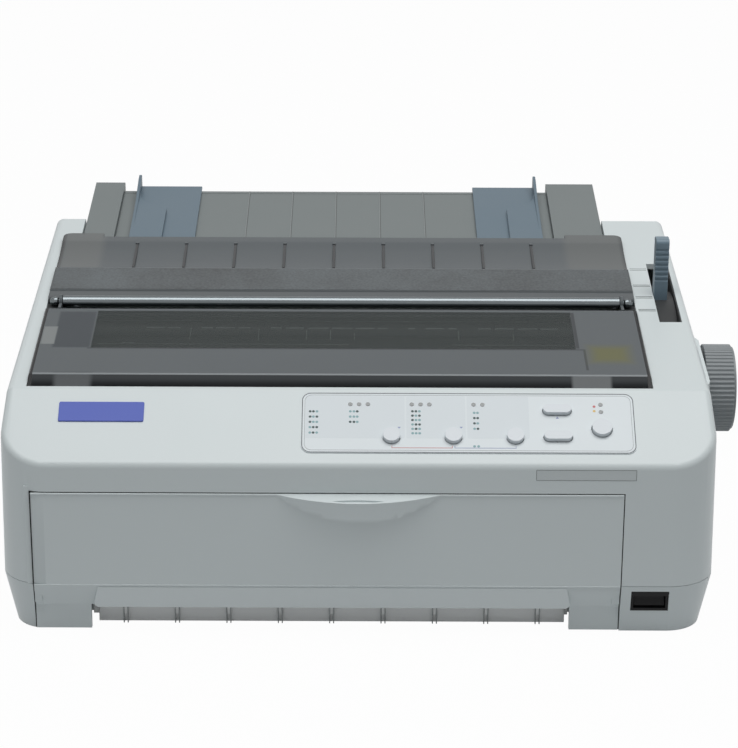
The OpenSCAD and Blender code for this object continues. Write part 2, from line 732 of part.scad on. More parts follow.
// Smoked covers: a rear cover that carries the hinge rod, and a lid that turns on the rod
side_gap = 0.3;
rod_rise = 1.9;
rod_z = top_z(rod_y) + rod_rise;
seat_gap = 0.2;
cover_x0 = cover_left + side_gap;
cover_x1 = cover_right - side_gap;
ear_t = 1.8;
ear_gap = 0.2;
ear_r = 4.2;
ball_w = 4.7;
ball_r = 2.7;
neck_w = ear_t + 2 * ear_gap;
rod_inset = cover_wall + side_gap + ball_w + neck_w;
rod_x0 = cover_x0 + rod_inset;
rod_x1 = cover_x1 - rod_inset;
stub_r = 1.5;
stub_short = 0.5;
lid_rear_y = rod_y - 6.5;
trough_left = cover_left + 25;
trough_right = cover_right - 35;
trough_s = [36, 69];
trough_deep = 2.2;
rib_w = 2;
module hinge_rod() color([0.28, 0.29, 0.3]) {
    shaft(rod_x0, rod_x1, rod_y, rod_z, rod_r);
    shaft(rod_x0 - neck_w, rod_x1 + neck_w, rod_y, rod_z, neck_r);
    shaft(rod_x0 - neck_w - ball_w, rod_x0 - neck_w, rod_y, rod_z, ball_r);
    shaft(rod_x1 + neck_w, rod_x1 + neck_w + ball_w, rod_y, rod_z, ball_r);
    shaft(cover_x0 + stub_short, cover_x1 - stub_short, rod_y, rod_z, stub_r);
}
// Outline of the lid: up from the seat at the front slope's angle, then back along the covers
function lid_fold(rise) = break_y + side_gap
    + (rise + seat_depth - seat_gap) / (tan(front_angle) - cover_slope);
function lid_z(y, rise) = top_z(y) + rise;
module window_lid() color([0.35, 0.36, 0.37, 0.6]) difference() {
    seat_z = break_z - seat_depth + seat_gap;
    fold_y = lid_fold(cover_rise);
    union() {
        difference() {
            across(cover_x0, cover_x1) polygon([
                [break_y + side_gap, seat_z], [fold_y, lid_z(fold_y, cover_rise)],
                [lid_rear_y, lid_z(lid_rear_y, cover_rise)],
                [lid_rear_y, lid_z(lid_rear_y, seat_gap - seat_depth)]
            ]);
            across(cover_x0 + cover_wall, cover_x1 - cover_wall) polygon([
                [break_y + side_gap + 2.4 * cover_wall, seat_z - cut],
                [break_y + side_gap + 2.4 * cover_wall, seat_z + 0.8],
                [fold_y + 0.5, lid_z(fold_y, cover_rise - cover_wall)],
                [lid_rear_y + cut, lid_z(lid_rear_y, cover_rise - cover_wall)],
                [lid_rear_y + cut, lid_z(lid_rear_y, -3 * wall)], [break_y + 12, break_z - 3 * wall]
            ]);
        }
        for (x = [rod_x0 - neck_w + ear_gap, rod_x1 + ear_gap]) {
            shaft(x, x + ear_t, rod_y, rod_z, ear_r);
            across(x, x + ear_t) polygon([
                [rod_y, rod_z + ear_r], [lid_rear_y - 10, lid_z(lid_rear_y - 10, cover_rise)],
                [lid_rear_y - 10, lid_z(lid_rear_y - 10, -ear_r / 2)], [rod_y, rod_z - ear_r]
            ]);
        }
    }
    shaft(cover_left, cover_right, rod_y, rod_z, neck_r + running);
}
module rear_cover() color([0.35, 0.36, 0.37, 0.7]) {
    len = (cover_rear_y - rear_cover_y - side_gap) / cos(cover_angle);
    seat_t = seat_gap - seat_depth;
    difference() {
        on_cover_plane(rear_cover_y) {
            difference() {
                block([cover_x0, 0, seat_t], [cover_x1, len, cover_rise]);
                block([cover_x0 + cover_wall, cover_wall, seat_t - cut],
                    [cover_x1 - cover_wall, len - 7, cover_rise - cover_wall - trough_deep]);
                for (s = [[cover_wall, trough_s[0] - cover_wall], [trough_s[1] + cover_wall, len - 7]])
                    block([cover_x0 + cover_wall, s[0], seat_t],
                        [cover_x1 - cover_wall, s[1], cover_rise - cover_wall]);
                // Trough and the step in the rear edge
                block([trough_left, trough_s[0], cover_rise - trough_deep],
                    [trough_right, trough_s[1], cover_rise + cut]);
                block([trough_left, len - 5, seat_t - cut], [trough_right, len + cut, cover_rise + cut]);
            }
            for (i = [0 : cover_ribs - 1]) {
                x = (trough_left + trough_right) / 2 + (i - (cover_ribs - 1) / 2) * cover_rib_pitch;
                block([x - rib_w / 2, trough_s[0] - cut, cover_rise - trough_deep - cut],
                    [x + rib_w / 2, trough_s[1] + cut, cover_rise - 0.3]);
            }
            // Arms that reach forward past the rod's ends
            for (x = [cover_x0, cover_x1 - cover_wall])
                block([x, rod_y - 4.2 - rear_cover_y, seat_t],
                    [x + cover_wall, cover_wall, rod_rise + stub_r + 1]);
        }
        shaft(cover_x0 + stub_short - running, cover_x1 - stub_short + running, rod_y, rod_z,
            stub_r + running);
    }
}

// Front cover with a finger lip, hinged low behind the front
ear_side_t = 4;
ear_side_r = 5;
// The finger lip is the front of a large ball, cut off by a slope that falls towards the front
lip_wall = 2.4;
lip_fall = tan(17);
lip_flat_r = (lip_w * lip_w + lip_h * lip_h) / (2 * lip_h);
lip_up = lip_flat_r - lip_h;
lip_rim_up = lip_up + lip_out * lip_fall;
lip_back = (lip_flat_r * lip_flat_r - lip_rim_up * lip_rim_up - lip_out * lip_out) / (2 * lip_out);
lip_ball_r = sqrt(lip_back * lip_back + lip_flat_r * lip_flat_r);
module lip(drawn_in, rear) {
    intersection() {
        translate([0, lip_back, door_top + lip_up]) sphere(lip_ball_r - drawn_in, $fn = 240);
        across(-lip_w - door_t, lip_w + door_t) polygon([
            [-lip_out - cut, door_top - lip_h - door_t], [rear, door_top - lip_h - door_t],
            [rear, door_top - drawn_in], [0, door_top - drawn_in],
            [-lip_out - cut, door_top - drawn_in - (lip_out + cut) * lip_fall]
        ]);
    }
}
// Shallow lens-shaped hollow in the top of the lip, for the fingertips
lip_pit_r = 100;
lip_pit_y = 2 - lip_out;
lip_pit_deep = 0.8;
module lip_pit() {
    translate([0, lip_pit_y, door_top + lip_pit_y * lip_fall - lip_pit_deep])
        linear_extrude(2 * lip_pit_deep) intersection() {
            translate([0, lip_pit_r - 1]) circle(lip_pit_r, $fn = 240);
            translate([0, 1 - lip_pit_r]) circle(lip_pit_r, $fn = 240);
        }
}
module front_cover() color([0.70, 0.73, 0.74]) difference() {
    union() {
        intersection() {
            across(door_left, door_right) polygon([
                [0, door_top], [0, seam_z], [step_in, crease_z], [step_in, door_low],
                [step_in + door_t, door_low], [step_in + door_t, crease_z],
                [door_t, seam_z + door_t / 2], [door_t, door_top]
            ]);
            linear_extrude(door_top) plan(0);
        }
        lip(0, door_t / 2);
        for (x = [door_left, door_right - ear_side_t]) {
            shaft(x, x + ear_side_t, hinge_y, hinge_z, ear_side_r);
            block([x, door_t, hinge_z], [x + ear_side_t, hinge_y + ear_side_r / 2, seam_z - 4]);
        }
    }
    block([cutout_left, -cut, 0], [cutout_right, 2 * hinge_y, crease_z]);
    lip(lip_wall, door_t + cut);
    lip_pit();
    shaft(door_left - cut, door_left + ear_side_t + cut, hinge_y, hinge_z, hinge_pin_r + running);
    shaft(door_right - ear_side_t - cut, door_right + cut, hinge_y, hinge_z, hinge_pin_r + running);
}
module front_cover_pins() color([0.6, 0.6, 0.6])
    for (x = [door_left - door_gap - wall, door_right - ear_side_t + 0.4])
        shaft(x, x + wall + door_gap + ear_side_t - 0.4, hinge_y, hinge_z, hinge_pin_r);
strip_ribs = 9;
strip_pitch = (strip_right - strip_left - 30) / (strip_ribs - 1);
module lower_paper_strip() color([0.66, 0.69, 0.7]) {
    block([strip_left, strip_y, strip_low], [strip_right, strip_y + strip_t, strip_top]);
    for (i = [0 : strip_ribs - 1]) {
        x = (strip_left + strip_right) / 2 + (i - (strip_ribs - 1) / 2) * strip_pitch;
        block([x - 0.9, strip_y - 1.4, strip_low + 3.2], [x + 0.9, strip_y + cut, strip_top]);
    }
}

// Paper guide over the rear edge, drawn in its own frame: x across, y back, z up
module on_guide() {
    translate([0, guide_front_y, top_z(guide_front_y) - guide_sink])
        rotate([cover_angle, 0, 0]) children();
}
guide_len = (guide_rear_y - guide_front_y - wing_t * sin(cover_angle)) / cos(cover_angle);
guide_wall = 2.4;
panel_end = guide_len - 7;
panel_thick = 2.5;
slot_s = [60, 64];
slot_x = [[guide_left + left_wing_w + 6, -20], [10, guide_right - right_wing_w - 6]];
guide_ribs = 6;
guide_rib_pitch = 27.3;
module paper_guide() color([0.5, 0.51, 0.5]) on_guide() {
    wing_x = [[guide_left, guide_left + left_wing_w], [guide_right - right_wing_w, guide_right]];
    for (w = wing_x) difference() {
        block([w[0], 0, -wing_t], [w[1], guide_len, 0]);
        block([w[0] + guide_wall, guide_wall, -wing_t - cut],
            [w[1] - guide_wall, guide_len - guide_wall, -guide_wall]);
    }
    difference() {
        block([wing_x[0][1] - cut, 0, -panel_drop - panel_thick],
            [wing_x[1][0] + cut, panel_end, -panel_drop]);
        for (x = slot_x)
            block([x[0], slot_s[0], -wing_t - cut], [x[1], slot_s[1], 0]);
    }
    for (i = [0 : guide_ribs - 1]) {
        x = (wing_x[0][1] + wing_x[1][0]) / 2 + (i - (guide_ribs - 1) / 2 ) * guide_rib_pitch;
        block([x - 0.5, 0, -panel_drop - cut], [x + 0.5, slot_s[0] - cut, -panel_drop + 0.5]);
        block([x - 0.5, slot_s[1] + cut, -panel_drop - cut], [x + 0.5, panel_end, -panel_drop + 0.5]);
    }
    translate([0, guide_pin_at[0], guide_pin_at[1]]) {
        shaft(guide_left - guide_pin_out, guide_left + guide_wall, 0, 0, guide_pin_r);
        shaft(guide_right - guide_wall, guide_right + guide_pin_out, 0, 0, guide_pin_r);
    }
}
plate_low = -panel_drop + 0.9;
plate_t = 1.8;
tongue_w = 20;
fin_t = 1.8;
wedge_w = 20;
module edge_guide(x0, side) color([0.47, 0.54, 0.6]) on_guide() {
    middle = x0 + edge_guide_w / 2;
    fin_x = side < 0 ? x0 : x0 + edge_guide_w - fin_t;
    wedge_x = side < 0 ? x0 : x0 + edge_guide_w - wedge_w;
    top = plate_low + plate_t;
    block([x0, 3, plate_low], [x0 + edge_guide_w, panel_end + 3, top]);
    across(wedge_x, wedge_x + wedge_w)
        polygon([[3, plate_low], [3, top + 2], [32, top + 1], [38, plate_low]]);
    across(fin_x, fin_x + fin_t) polygon([
        [12, plate_low], [panel_end + 3, plate_low], [panel_end + 3, fin_h],
        [panel_end - 5, fin_h], [panel_end - 32, 2.4], [12, top + 2]
    ]);
    block([middle - tongue_w / 2, slot_s[0] + 0.3, -wing_t + 0.2],
        [middle + tongue_w / 2, slot_s[1] - 0.3, plate_low + cut]);
    block([middle - tongue_w / 2, slot_s[0] - 3, -wing_t + 0.2],
        [middle + tongue_w / 2, slot_s[1] + 3, -panel_drop - panel_thick - 0.3]);
}
module left_edge_guide() edge_guide(left_guide_x, -1);
module right_edge_guide() edge_guide(right_guide_x, 1);

// Release lever with its shaft in the right side frame and in a post of the lower case
module release_lever() color([0.3, 0.38, 0.46]) {
    shaft(frame_right - sheet, lever_x, lever_y, lever_z, lever_shaft_r);
    shaft(lever_x, lever_x + lever_w, lever_y, lever_z, 2 * lever_shaft_r);
    difference() {
        across(lever_x, lever_x + lever_w) {
            translate([lever_y - lever_hd * 0.7, lever_z])
                square([lever_hd * 1.4, lever_h * 0.7]);
            translate([lever_y - lever_hd, lever_z + lever_h * 0.55])
                square([2 * lever_hd, lever_h * 0.45 - lever_hd / 2]);
            translate([lever_y - lever_hd / 2, lever_z + lever_h - lever_hd]) square(lever_hd);
            for (side = [-1, 1])
                translate([lever_y + side * lever_hd / 2, lever_z + lever_h - lever_hd / 2])
                    circle(lever_hd / 2, $fn = 32);
        }
        for (i = [0 : 6])
            block([lever_x - cut, lever_y - lever_hd - cut, lever_z + lever_h - 7 - 3 * i],
                [lever_x + lever_w + cut, lever_y - lever_hd + 0.6, lever_z + lever_h - 5.6 - 3 * i]);
    }
}

// Gears with straight-sided teeth. A tooth is drawn at the angle given, from +y towards +z.
tooth_out = 0.8;
tooth_in = 1.1;
tooth_lean = tan(20);
module gear(teeth, phase, x0, y, z, bore) {
    r = teeth * gear_m / 2;
    half = 0.2 * PI * gear_m;
    across(x0, x0 + gear_w) translate([y, z]) difference() {
        union() {
            circle(r - tooth_in * gear_m, $fn = 96);
            for (i = [0 : teeth - 1]) rotate(phase + i * 360 / teeth) polygon([
                [r - 1.6 * gear_m, -half - tooth_in * gear_m * tooth_lean],
                [r + tooth_out * gear_m, -half + tooth_out * gear_m * tooth_lean],
                [r + tooth_out * gear_m, half - tooth_out * gear_m * tooth_lean],
                [r - 1.6 * gear_m, half + tooth_in * gear_m * tooth_lean]
            ]);
        }
        circle(bore, $fn = 64);
    }
}
platen_teeth = 32;
idler_teeth = 24;
pinion_teeth = 12;
middle_teeth = 40;
idler_angle = -67.5;
pinion_angle = -45;
function apart(a, b) = (a + b) * gear_m / 2;
idler_y = platen_y + apart(platen_teeth, idler_teeth) * cos(idler_angle);
idler_z = platen_z + apart(platen_teeth, idler_teeth) * sin(idler_angle);
pinion_y = idler_y + apart(idler_teeth, pinion_teeth) * cos(pinion_angle);
pinion_z = idler_z + apart(idler_teeth, pinion_teeth) * sin(pinion_angle);
middle_y = platen_y + apart(platen_teeth, middle_teeth);
tractor_y = middle_y + apart(middle_teeth, platen_teeth);
gear_x = frame_right + 4;
module platen_gear() color([0.85, 0.85, 0.8])
    gear(platen_teeth, 0, gear_x, platen_y, platen_z, platen_shaft_r);
module tractor_gear() color([0.85, 0.85, 0.8])
    gear(platen_teeth, 0, gear_x, tractor_y, platen_z, platen_shaft_r);
module motor_idler() color([0.85, 0.85, 0.8])
    gear(idler_teeth, 0, gear_x, idler_y, idler_z, gear_pin_r + running);
module tractor_idler() color([0.85, 0.85, 0.8])
    gear(middle_teeth, 180 / middle_teeth, gear_x, middle_y, platen_z, gear_pin_r + running);
motor_shaft_r = 1.5;
motor_r = 18;
motor_deep = 34;
module feed_pinion() color([0.75, 0.65, 0.4]) {
    gear(pinion_teeth, 0, gear_x, pinion_y, pinion_z, motor_shaft_r);
    shaft(frame_right - sheet - motor_deep + 4, gear_x + gear_w + 1, pinion_y, pinion_z, motor_shaft_r);
}
module feed_motor() color([0.4, 0.4, 0.42]) difference() {
    shaft(frame_right - sheet - motor_deep, frame_right - sheet, pinion_y, pinion_z, motor_r);
    shaft(frame_right - sheet - motor_deep + 3, frame_right, pinion_y, pinion_z,
        motor_shaft_r + running);
}

// Platen and knob
roller_end = 2;
knob_rim = 1.5;
module platen_roller() color([0.12, 0.12, 0.12]) difference() {
    shaft(frame_left + sheet + roller_end, frame_right - sheet - roller_end,
        platen_y, platen_z, platen_r);
    shaft(frame_left, frame_right, platen_y, platen_z, platen_shaft_r);
}
module platen_shaft() color([0.7, 0.7, 0.72])
    shaft(frame_left - 3, knob_face_x + 4, platen_y, platen_z, platen_shaft_r);
module knob_flute(angle) {
    rotate(angle) translate([knob_r + 0.35, 0]) circle(1.05, $fn = 16);
}
module paper_feed_knob() color([0.35, 0.35, 0.36]) difference() {
    union() {
        shaft(gear_x + gear_w + 2, knob_face_x + cut, platen_y, platen_z, knob_hub_r);
        across(knob_face_x, knob_face_x + knob_w - knob_rim) translate([platen_y, platen_z])
            difference() {
                circle(knob_r, $fn = 120);
                for (i = [0 : knob_flutes - 1]) knob_flute(i * 360 / knob_flutes);
            }
        shaft(knob_face_x, knob_face_x + knob_w, platen_y, platen_z, knob_r - 1.4);
    }
    shaft(gear_x, knob_face_x + 4, platen_y, platen_z, platen_shaft_r);
    shaft(knob_face_x + knob_w - 2, knob_face_x + knob_w + cut, platen_y, platen_z, knob_r - 5);
}

// Tractors that pull perforated paper, on a driven shaft and a rail
rail_y = tractor_y - 14;
rail_z = platen_z - 16;
tractor_rail_r = 3;
module tractor_shaft() color([0.7, 0.7, 0.72])
    shaft(frame_left - 2, gear_x + gear_w + 1, tractor_y, platen_z, platen_shaft_r);
module tractor_rail() color([0.7, 0.7, 0.72])
    shaft(frame_left, frame_right, rail_y, rail_z, tractor_rail_r);
module tractor(x0) color([0.3, 0.31, 0.33]) {
    difference() {
        across(x0, x0 + tractor_w) {
            translate([tractor_y, platen_z]) circle(11, $fn = 64);
            translate([rail_y - 8, rail_z]) circle(11, $fn = 64);
            polygon([
                [rail_y - 16, rail_z + 7.5], [tractor_y - 7, platen_z + 8.5],
                [tractor_y + 8, platen_z - 7.5], [rail_y, rail_z - 7.5]
            ]);
        }
        shaft(x0 - cut, x0 + tractor_w + cut, tractor_y, platen_z, platen_shaft_r + running);
        shaft(x0 - cut, x0 + tractor_w + cut, rail_y, rail_z, tractor_rail_r + running);
    }
    for (i = [0 : 4]) translate([x0 + tractor_w / 2, tractor_y, platen_z])
        rotate([i * 25 - 180, 0, 0]) translate([0, 0, 10]) cylinder(2.4, 1, 0.6, $fn = 24);
}
module left_tractor() tractor(left_tractor_x);
module right_tractor() tractor(right_tractor_x);

// Side frames and base frame
frame_z = base_z + sheet;
module side_frame(x0) difference() {
    across(x0, x0 + sheet) polygon([
        [base_front_y, frame_z], [base_rear_y, frame_z], [base_rear_y, platen_z + 20.4],
        [platen_y + 15, platen_z + 20.4], [platen_y - 17, platen_z + 18.4],
        [base_front_y, guide_shaft_z + 10]
    ]);
    for (p = [[platen_y, platen_z, platen_shaft_r + running],
            [tractor_y, platen_z, platen_shaft_r + running], [rail_y, rail_z, tractor_rail_r],
            [guide_shaft_y, guide_shaft_z, guide_shaft_r + running]])
        shaft(x0 - cut, x0 + sheet + cut, p[0], p[1], p[2]);
    if (x0 > 0) {
        shaft(x0 - cut, x0 + sheet + cut, lever_y, lever_z, lever_shaft_r + running);
        shaft(x0 - cut, x0 + sheet + cut, pinion_y, pinion_z, motor_shaft_r + 1);
    }
}
module left_side_frame() color([0.72, 0.73, 0.75]) side_frame(frame_left);
module right_side_frame() color([0.72, 0.73, 0.75]) {
    side_frame(frame_right - sheet);
    for (p = [[idler_y, idler_z], [middle_y, platen_z]]) {
        shaft(frame_right - cut, gear_x + gear_w + 1, p[0], p[1], gear_pin_r);
        shaft(frame_right - cut, gear_x - gap, p[0], p[1], 2 * gear_pin_r);
    }
}
module base_frame() color([0.72, 0.73, 0.75])
    block([frame_left, base_front_y, base_z], [frame_right, base_rear_y, frame_z]);
tension_drop = 14;
module tension_unit() color([0.24, 0.25, 0.26]) on_cover_plane(platen_y + 16) difference() {
    block([frame_left + sheet, 0, -tension_drop - 3], [frame_right - sheet, 45, -tension_drop]);
    block([frame_left + 13, 6, -tension_drop - 1], [frame_right - 28, 18, -tension_drop + cut]);
}

// Carriage on its guide shaft and rail, print head, ribbon
strip_rail = [[50, 76], [54, 78]];
module guide_shaft() color([0.75, 0.75, 0.77])
    shaft(gap_lever_x, frame_right + 2, guide_shaft_y, guide_shaft_z, guide_shaft_r);
gap_lever_x = frame_left - 8;
gap_lever_t = 4;
module head_gap_lever() color([0.3, 0.38, 0.46]) difference() {
    across(gap_lever_x, gap_lever_x + gap_lever_t) {
        translate([guide_shaft_y, guide_shaft_z]) circle(9, $fn = 64);
        translate([guide_shaft_y - 4, guide_shaft_z]) square([8, 40]);
    }
    shaft(gap_lever_x - cut, gap_lever_x + gap_lever_t + cut, guide_shaft_y, guide_shaft_z,
        guide_shaft_r);
}
module carriage_rail() color([0.75, 0.75, 0.77])
    block([frame_left + sheet, strip_rail[0][0], strip_rail[0][1]],
        [frame_right - sheet, strip_rail[1][0], strip_rail[1][1]]);
carriage_top = guide_shaft_z + 12;
belt_z = 60.5;
belt_h = 5;
belt_t = 1.2;
pulley_y = 66;
belt_run_y = pulley_y - pulley_r;
module carriage() color([0.2, 0.2, 0.21]) translate([carriage_x, 0, 0]) difference() {
    union() {
        block([-carriage_hw, guide_shaft_y - 14, guide_shaft_z - 12],
            [carriage_hw, guide_shaft_y + 20, carriage_top]);
        block([-10, 50, 73], [10, 57, 81]);
        block([-6, 54.5, belt_z - 1.2], [6, 61, 71]);
    }
    shaft(-carriage_hw - cut, carriage_hw + cut, guide_shaft_y, guide_shaft_z,
        guide_shaft_r + running);
    block([-10 - cut, 49, strip_rail[0][1] - gap],
        [10 + cut, strip_rail[1][0] + gap, strip_rail[1][1] + gap]);
    block([-6 - cut, belt_run_y - belt_t - gap, belt_z - gap],
        [6 + cut, belt_run_y + gap, belt_z + belt_h + gap]);
}
module print_head() color([0.15, 0.15, 0.16]) translate([carriage_x, 0, 0]) {
    block([-head_hw, guide_shaft_y - 4, carriage_top], [head_hw, guide_shaft_y + 16, carriage_top + 30]);
    for (i = [0 : 4])
        block([-head_hw - 1, guide_shaft_y - 3 + 4 * i, carriage_top + 10],
            [head_hw + 1, guide_shaft_y - 1 + 4 * i, carriage_top + 28]);
    block([-3, guide_shaft_y + 16, carriage_top + 8], [3, platen_y - platen_r - 1.1, carriage_top + 20]);
}
cartridge_x = [frame_left + 10, frame_right - 10];
arm_w = 12;
module ribbon_cartridge() color([0.16, 0.16, 0.17]) difference() {
    union() {
        block([cartridge_x[0], 47, 96], [cartridge_x[1], 64, 124]);
        block([frame_left + sheet, 58, 96], [frame_right - sheet, 64, 99]);
        for (x = [cartridge_x[0], cartridge_x[1] - arm_w])
            block([x, 64, 98], [x + arm_w, 90, 112]);
    }
    translate([ribbon_knob_x, ribbon_knob_y, 114]) cylinder(12, 2 + running, 2 + running, $fn = 32);
}
ribbon_y = platen_y - platen_r - 0.7;
module ink_ribbon() color([0.05, 0.05, 0.06]) {
    block([cartridge_x[0] + 2, ribbon_y, 100], [cartridge_x[1] - 2, ribbon_y + 0.2, 113]);
    for (x = [cartridge_x[0] + 2, cartridge_x[1] - 4])
        block([x, 90, 100], [x + 2, ribbon_y + 0.2, 112]);
}
ribbon_knob_x = frame_left + 48;
ribbon_knob_y = 57;
module ribbon_knob() color([0.3, 0.38, 0.46]) translate([ribbon_knob_x, ribbon_knob_y, 0]) {
    translate([0, 0, 114.5]) cylinder(10, 2, 2, $fn = 32);
    translate([0, 0, 124 + gap]) linear_extrude(4) difference() {
        circle(7, $fn = 64);
        for (i = [0 : 11]) rotate(i * 30) translate([7.4, 0]) circle(1, $fn = 16);
    }
}
left_pulley_x = frame_left + sheet + 16;
right_pulley_x = frame_right - sheet - 22;
pulley_bore = 2;
module pulley(x) color([0.75, 0.76, 0.78]) translate([x, pulley_y, belt_z - 1]) difference() {
    union() {
        cylinder(belt_h + 2, pulley_r, pulley_r, $fn = 64);
        cylinder(0.8, pulley_r + 1, pulley_r + 1, $fn = 64);
        translate([0, 0, belt_h + 1.2]) cylinder(0.8, pulley_r + 1, pulley_r + 1, $fn = 64);
    }
    translate([0, 0, -cut]) cylinder(belt_h + 4, pulley_bore + running, pulley_bore + running, $fn = 32);
}
motor_top = 57.5;
module motor_pulley() {
    pulley(right_pulley_x);
    color([0.7, 0.7, 0.72]) translate([right_pulley_x, pulley_y, motor_top - 12])
        cylinder(belt_z + belt_h - motor_top + 14, pulley_bore + running, pulley_bore + running, $fn = 32);
}
module belt_pulley() pulley(left_pulley_x);
module belt_outline(r) {
    translate([left_pulley_x, pulley_y - r]) square([right_pulley_x - left_pulley_x, 2 * r]);
    for (x = [left_pulley_x, right_pulley_x]) translate([x, pulley_y]) circle(r, $fn = 64);
}
module carriage_belt() color([0.1, 0.1, 0.1]) translate([0, 0, belt_z]) linear_extrude(belt_h)
    difference() {
        belt_outline(pulley_r + belt_t);
        belt_outline(pulley_r + running);
    }
module carriage_motor() color([0.4, 0.4, 0.42]) translate([right_pulley_x, pulley_y, frame_z])
    difference() {
        cylinder(motor_top - frame_z, 17, 17, $fn = 96);
        translate([0, 0, motor_top - frame_z - 13])
            cylinder(14, pulley_bore + 2 * running, pulley_bore + 2 * running, $fn = 32);
    }
module pulley_bracket() color([0.6, 0.62, 0.64]) {
    block([left_pulley_x - 8, pulley_y - 8, frame_z], [left_pulley_x + 8, pulley_y + 8, motor_top]);
    translate([left_pulley_x, pulley_y, motor_top - cut])
        cylinder(belt_z + belt_h + 3 - motor_top, pulley_bore, pulley_bore, $fn = 32);
    translate([left_pulley_x, pulley_y, motor_top - cut])
        cylinder(belt_z - motor_top - gap, 4, 4, $fn = 32);
}

// Boards, power supply and sockets
chips = [[20, 30, 26, 14], [60, 30, 18, 18], [20, 80, 30, 12], [70, 90, 22, 22], [30, 130, 20, 16]];
module main_board() color([0.15, 0.4, 0.25]) {
    block([board_left, board_front, board_z], [board_right, board_rear, board_z + board_t]);
    for (p = chips)
        translate([board_left + p[0], board_front + p[1], board_z + board_t]) cube([p[2], p[3], 3]);
    for (i = [0 : 3])
        translate([board_right - 26 + 8 * i, board_front + 160, board_z + board_t])
            cylinder(9, 3, 3, $fn = 32);
}
module port_connectors() color([0.2, 0.2, 0.2])
    for (p = ports)
        block([p[0], case_d - port_deep, board_z + board_t],
            [p[0] + p[1], case_d, board_z + board_t + port_h]);
// The power supply lies on the floor of the case, low enough to pass under the base frame
supply_left = board_right + 10;
supply_right = inlet_x + 20;
supply_rear = inlet_front_y - 3;
supply_deep = 72;
supply_top = base_z - 2;
supply_slits = 14;
module power_supply() color([0.75, 0.76, 0.77]) difference() {
    block([supply_left, supply_rear - supply_deep, floor_z + wall],
        [supply_right, supply_rear, supply_top]);
    for (i = [0 : supply_slits - 1]) translate([supply_left + 8 + 9 * i, 0, 0])
        block([0, supply_rear - supply_deep + 10, supply_top - 2], [4, supply_rear - 8, supply_top + cut]);
}
module mains_inlet() color([0.06, 0.06, 0.06]) difference() {
    block([inlet_x - inlet_w / 2, inlet_front_y, inlet_z - inlet_h / 2],
        [inlet_x + inlet_w / 2, case_d, inlet_z + inlet_h / 2]);
    block([inlet_x - inlet_w / 2 + 2, case_d - 16, inlet_z - inlet_h / 2 + 2],
        [inlet_x + inlet_w / 2 - 2, case_d + cut, inlet_z + inlet_h / 2 - 2]);
}

on_footprint() upper_case();
on_footprint() lower_case();
on_footprint() rubber_feet();
on_footprint() case_screws();
on_footprint() nameplate();
on_footprint() control_panel();
on_footprint() panel_board();
on_footprint() indicator_lamps();
on_footprint() font_button();
on_footprint() pitch_button();
on_footprint() tear_off_button();
on_footprint() pause_button();
on_footprint() load_eject_button();
on_footprint() line_feed_button();
on_footprint() switch_bezel();
on_footprint() power_rocker();
on_footprint() rear_cover();
on_footprint() hinge_rod();
on_footprint() window_lid();
on_footprint() front_cover();
on_footprint() front_cover_pins();
on_footprint() lower_paper_strip();
on_footprint() paper_guide();
on_footprint() left_edge_guide();
on_footprint() right_edge_guide();
on_footprint() release_lever();
on_footprint() paper_feed_knob();
on_footprint() platen_roller();
on_footprint() platen_shaft();
on_footprint() platen_gear();
on_footprint() motor_idler();
on_footprint() feed_motor();
on_footprint() feed_pinion();
on_footprint() tractor_idler();
on_footprint() tractor_gear();
on_footprint() tractor_shaft();
on_footprint() tractor_rail();
on_footprint() left_tractor();
on_footprint() right_tractor();
on_footprint() left_side_frame();
on_footprint() right_side_frame();
on_footprint() base_frame();
on_footprint() tension_unit();
on_footprint() guide_shaft();
on_footprint() head_gap_lever();
on_footprint() carriage_rail();
on_footprint() carriage();
on_footprint() print_head();
on_footprint() carriage_belt();
on_footprint() carriage_motor();
on_footprint() motor_pulley();
on_footprint() belt_pulley();
on_footprint() pulley_bracket();
on_footprint() ribbon_cartridge();
on_footprint() ink_ribbon();
on_footprint() ribbon_knob();
on_footprint() main_board();
on_footprint() power_supply();
on_footprint() mains_inlet();
on_footprint() port_connectors();
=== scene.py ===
# %% [markdown]
# # A narrow dot matrix printer
# The printer is built once in CAD, as sixty separate parts with real joints. This script loads those
# parts as a fixed frame and gives them their looks: rounded plastic edges, the printed panel, the
# smoked cover, and the small things a CAD model leaves out.

# %% Load the frame
import json
import math
import bpy
from mathutils import Matrix, Vector

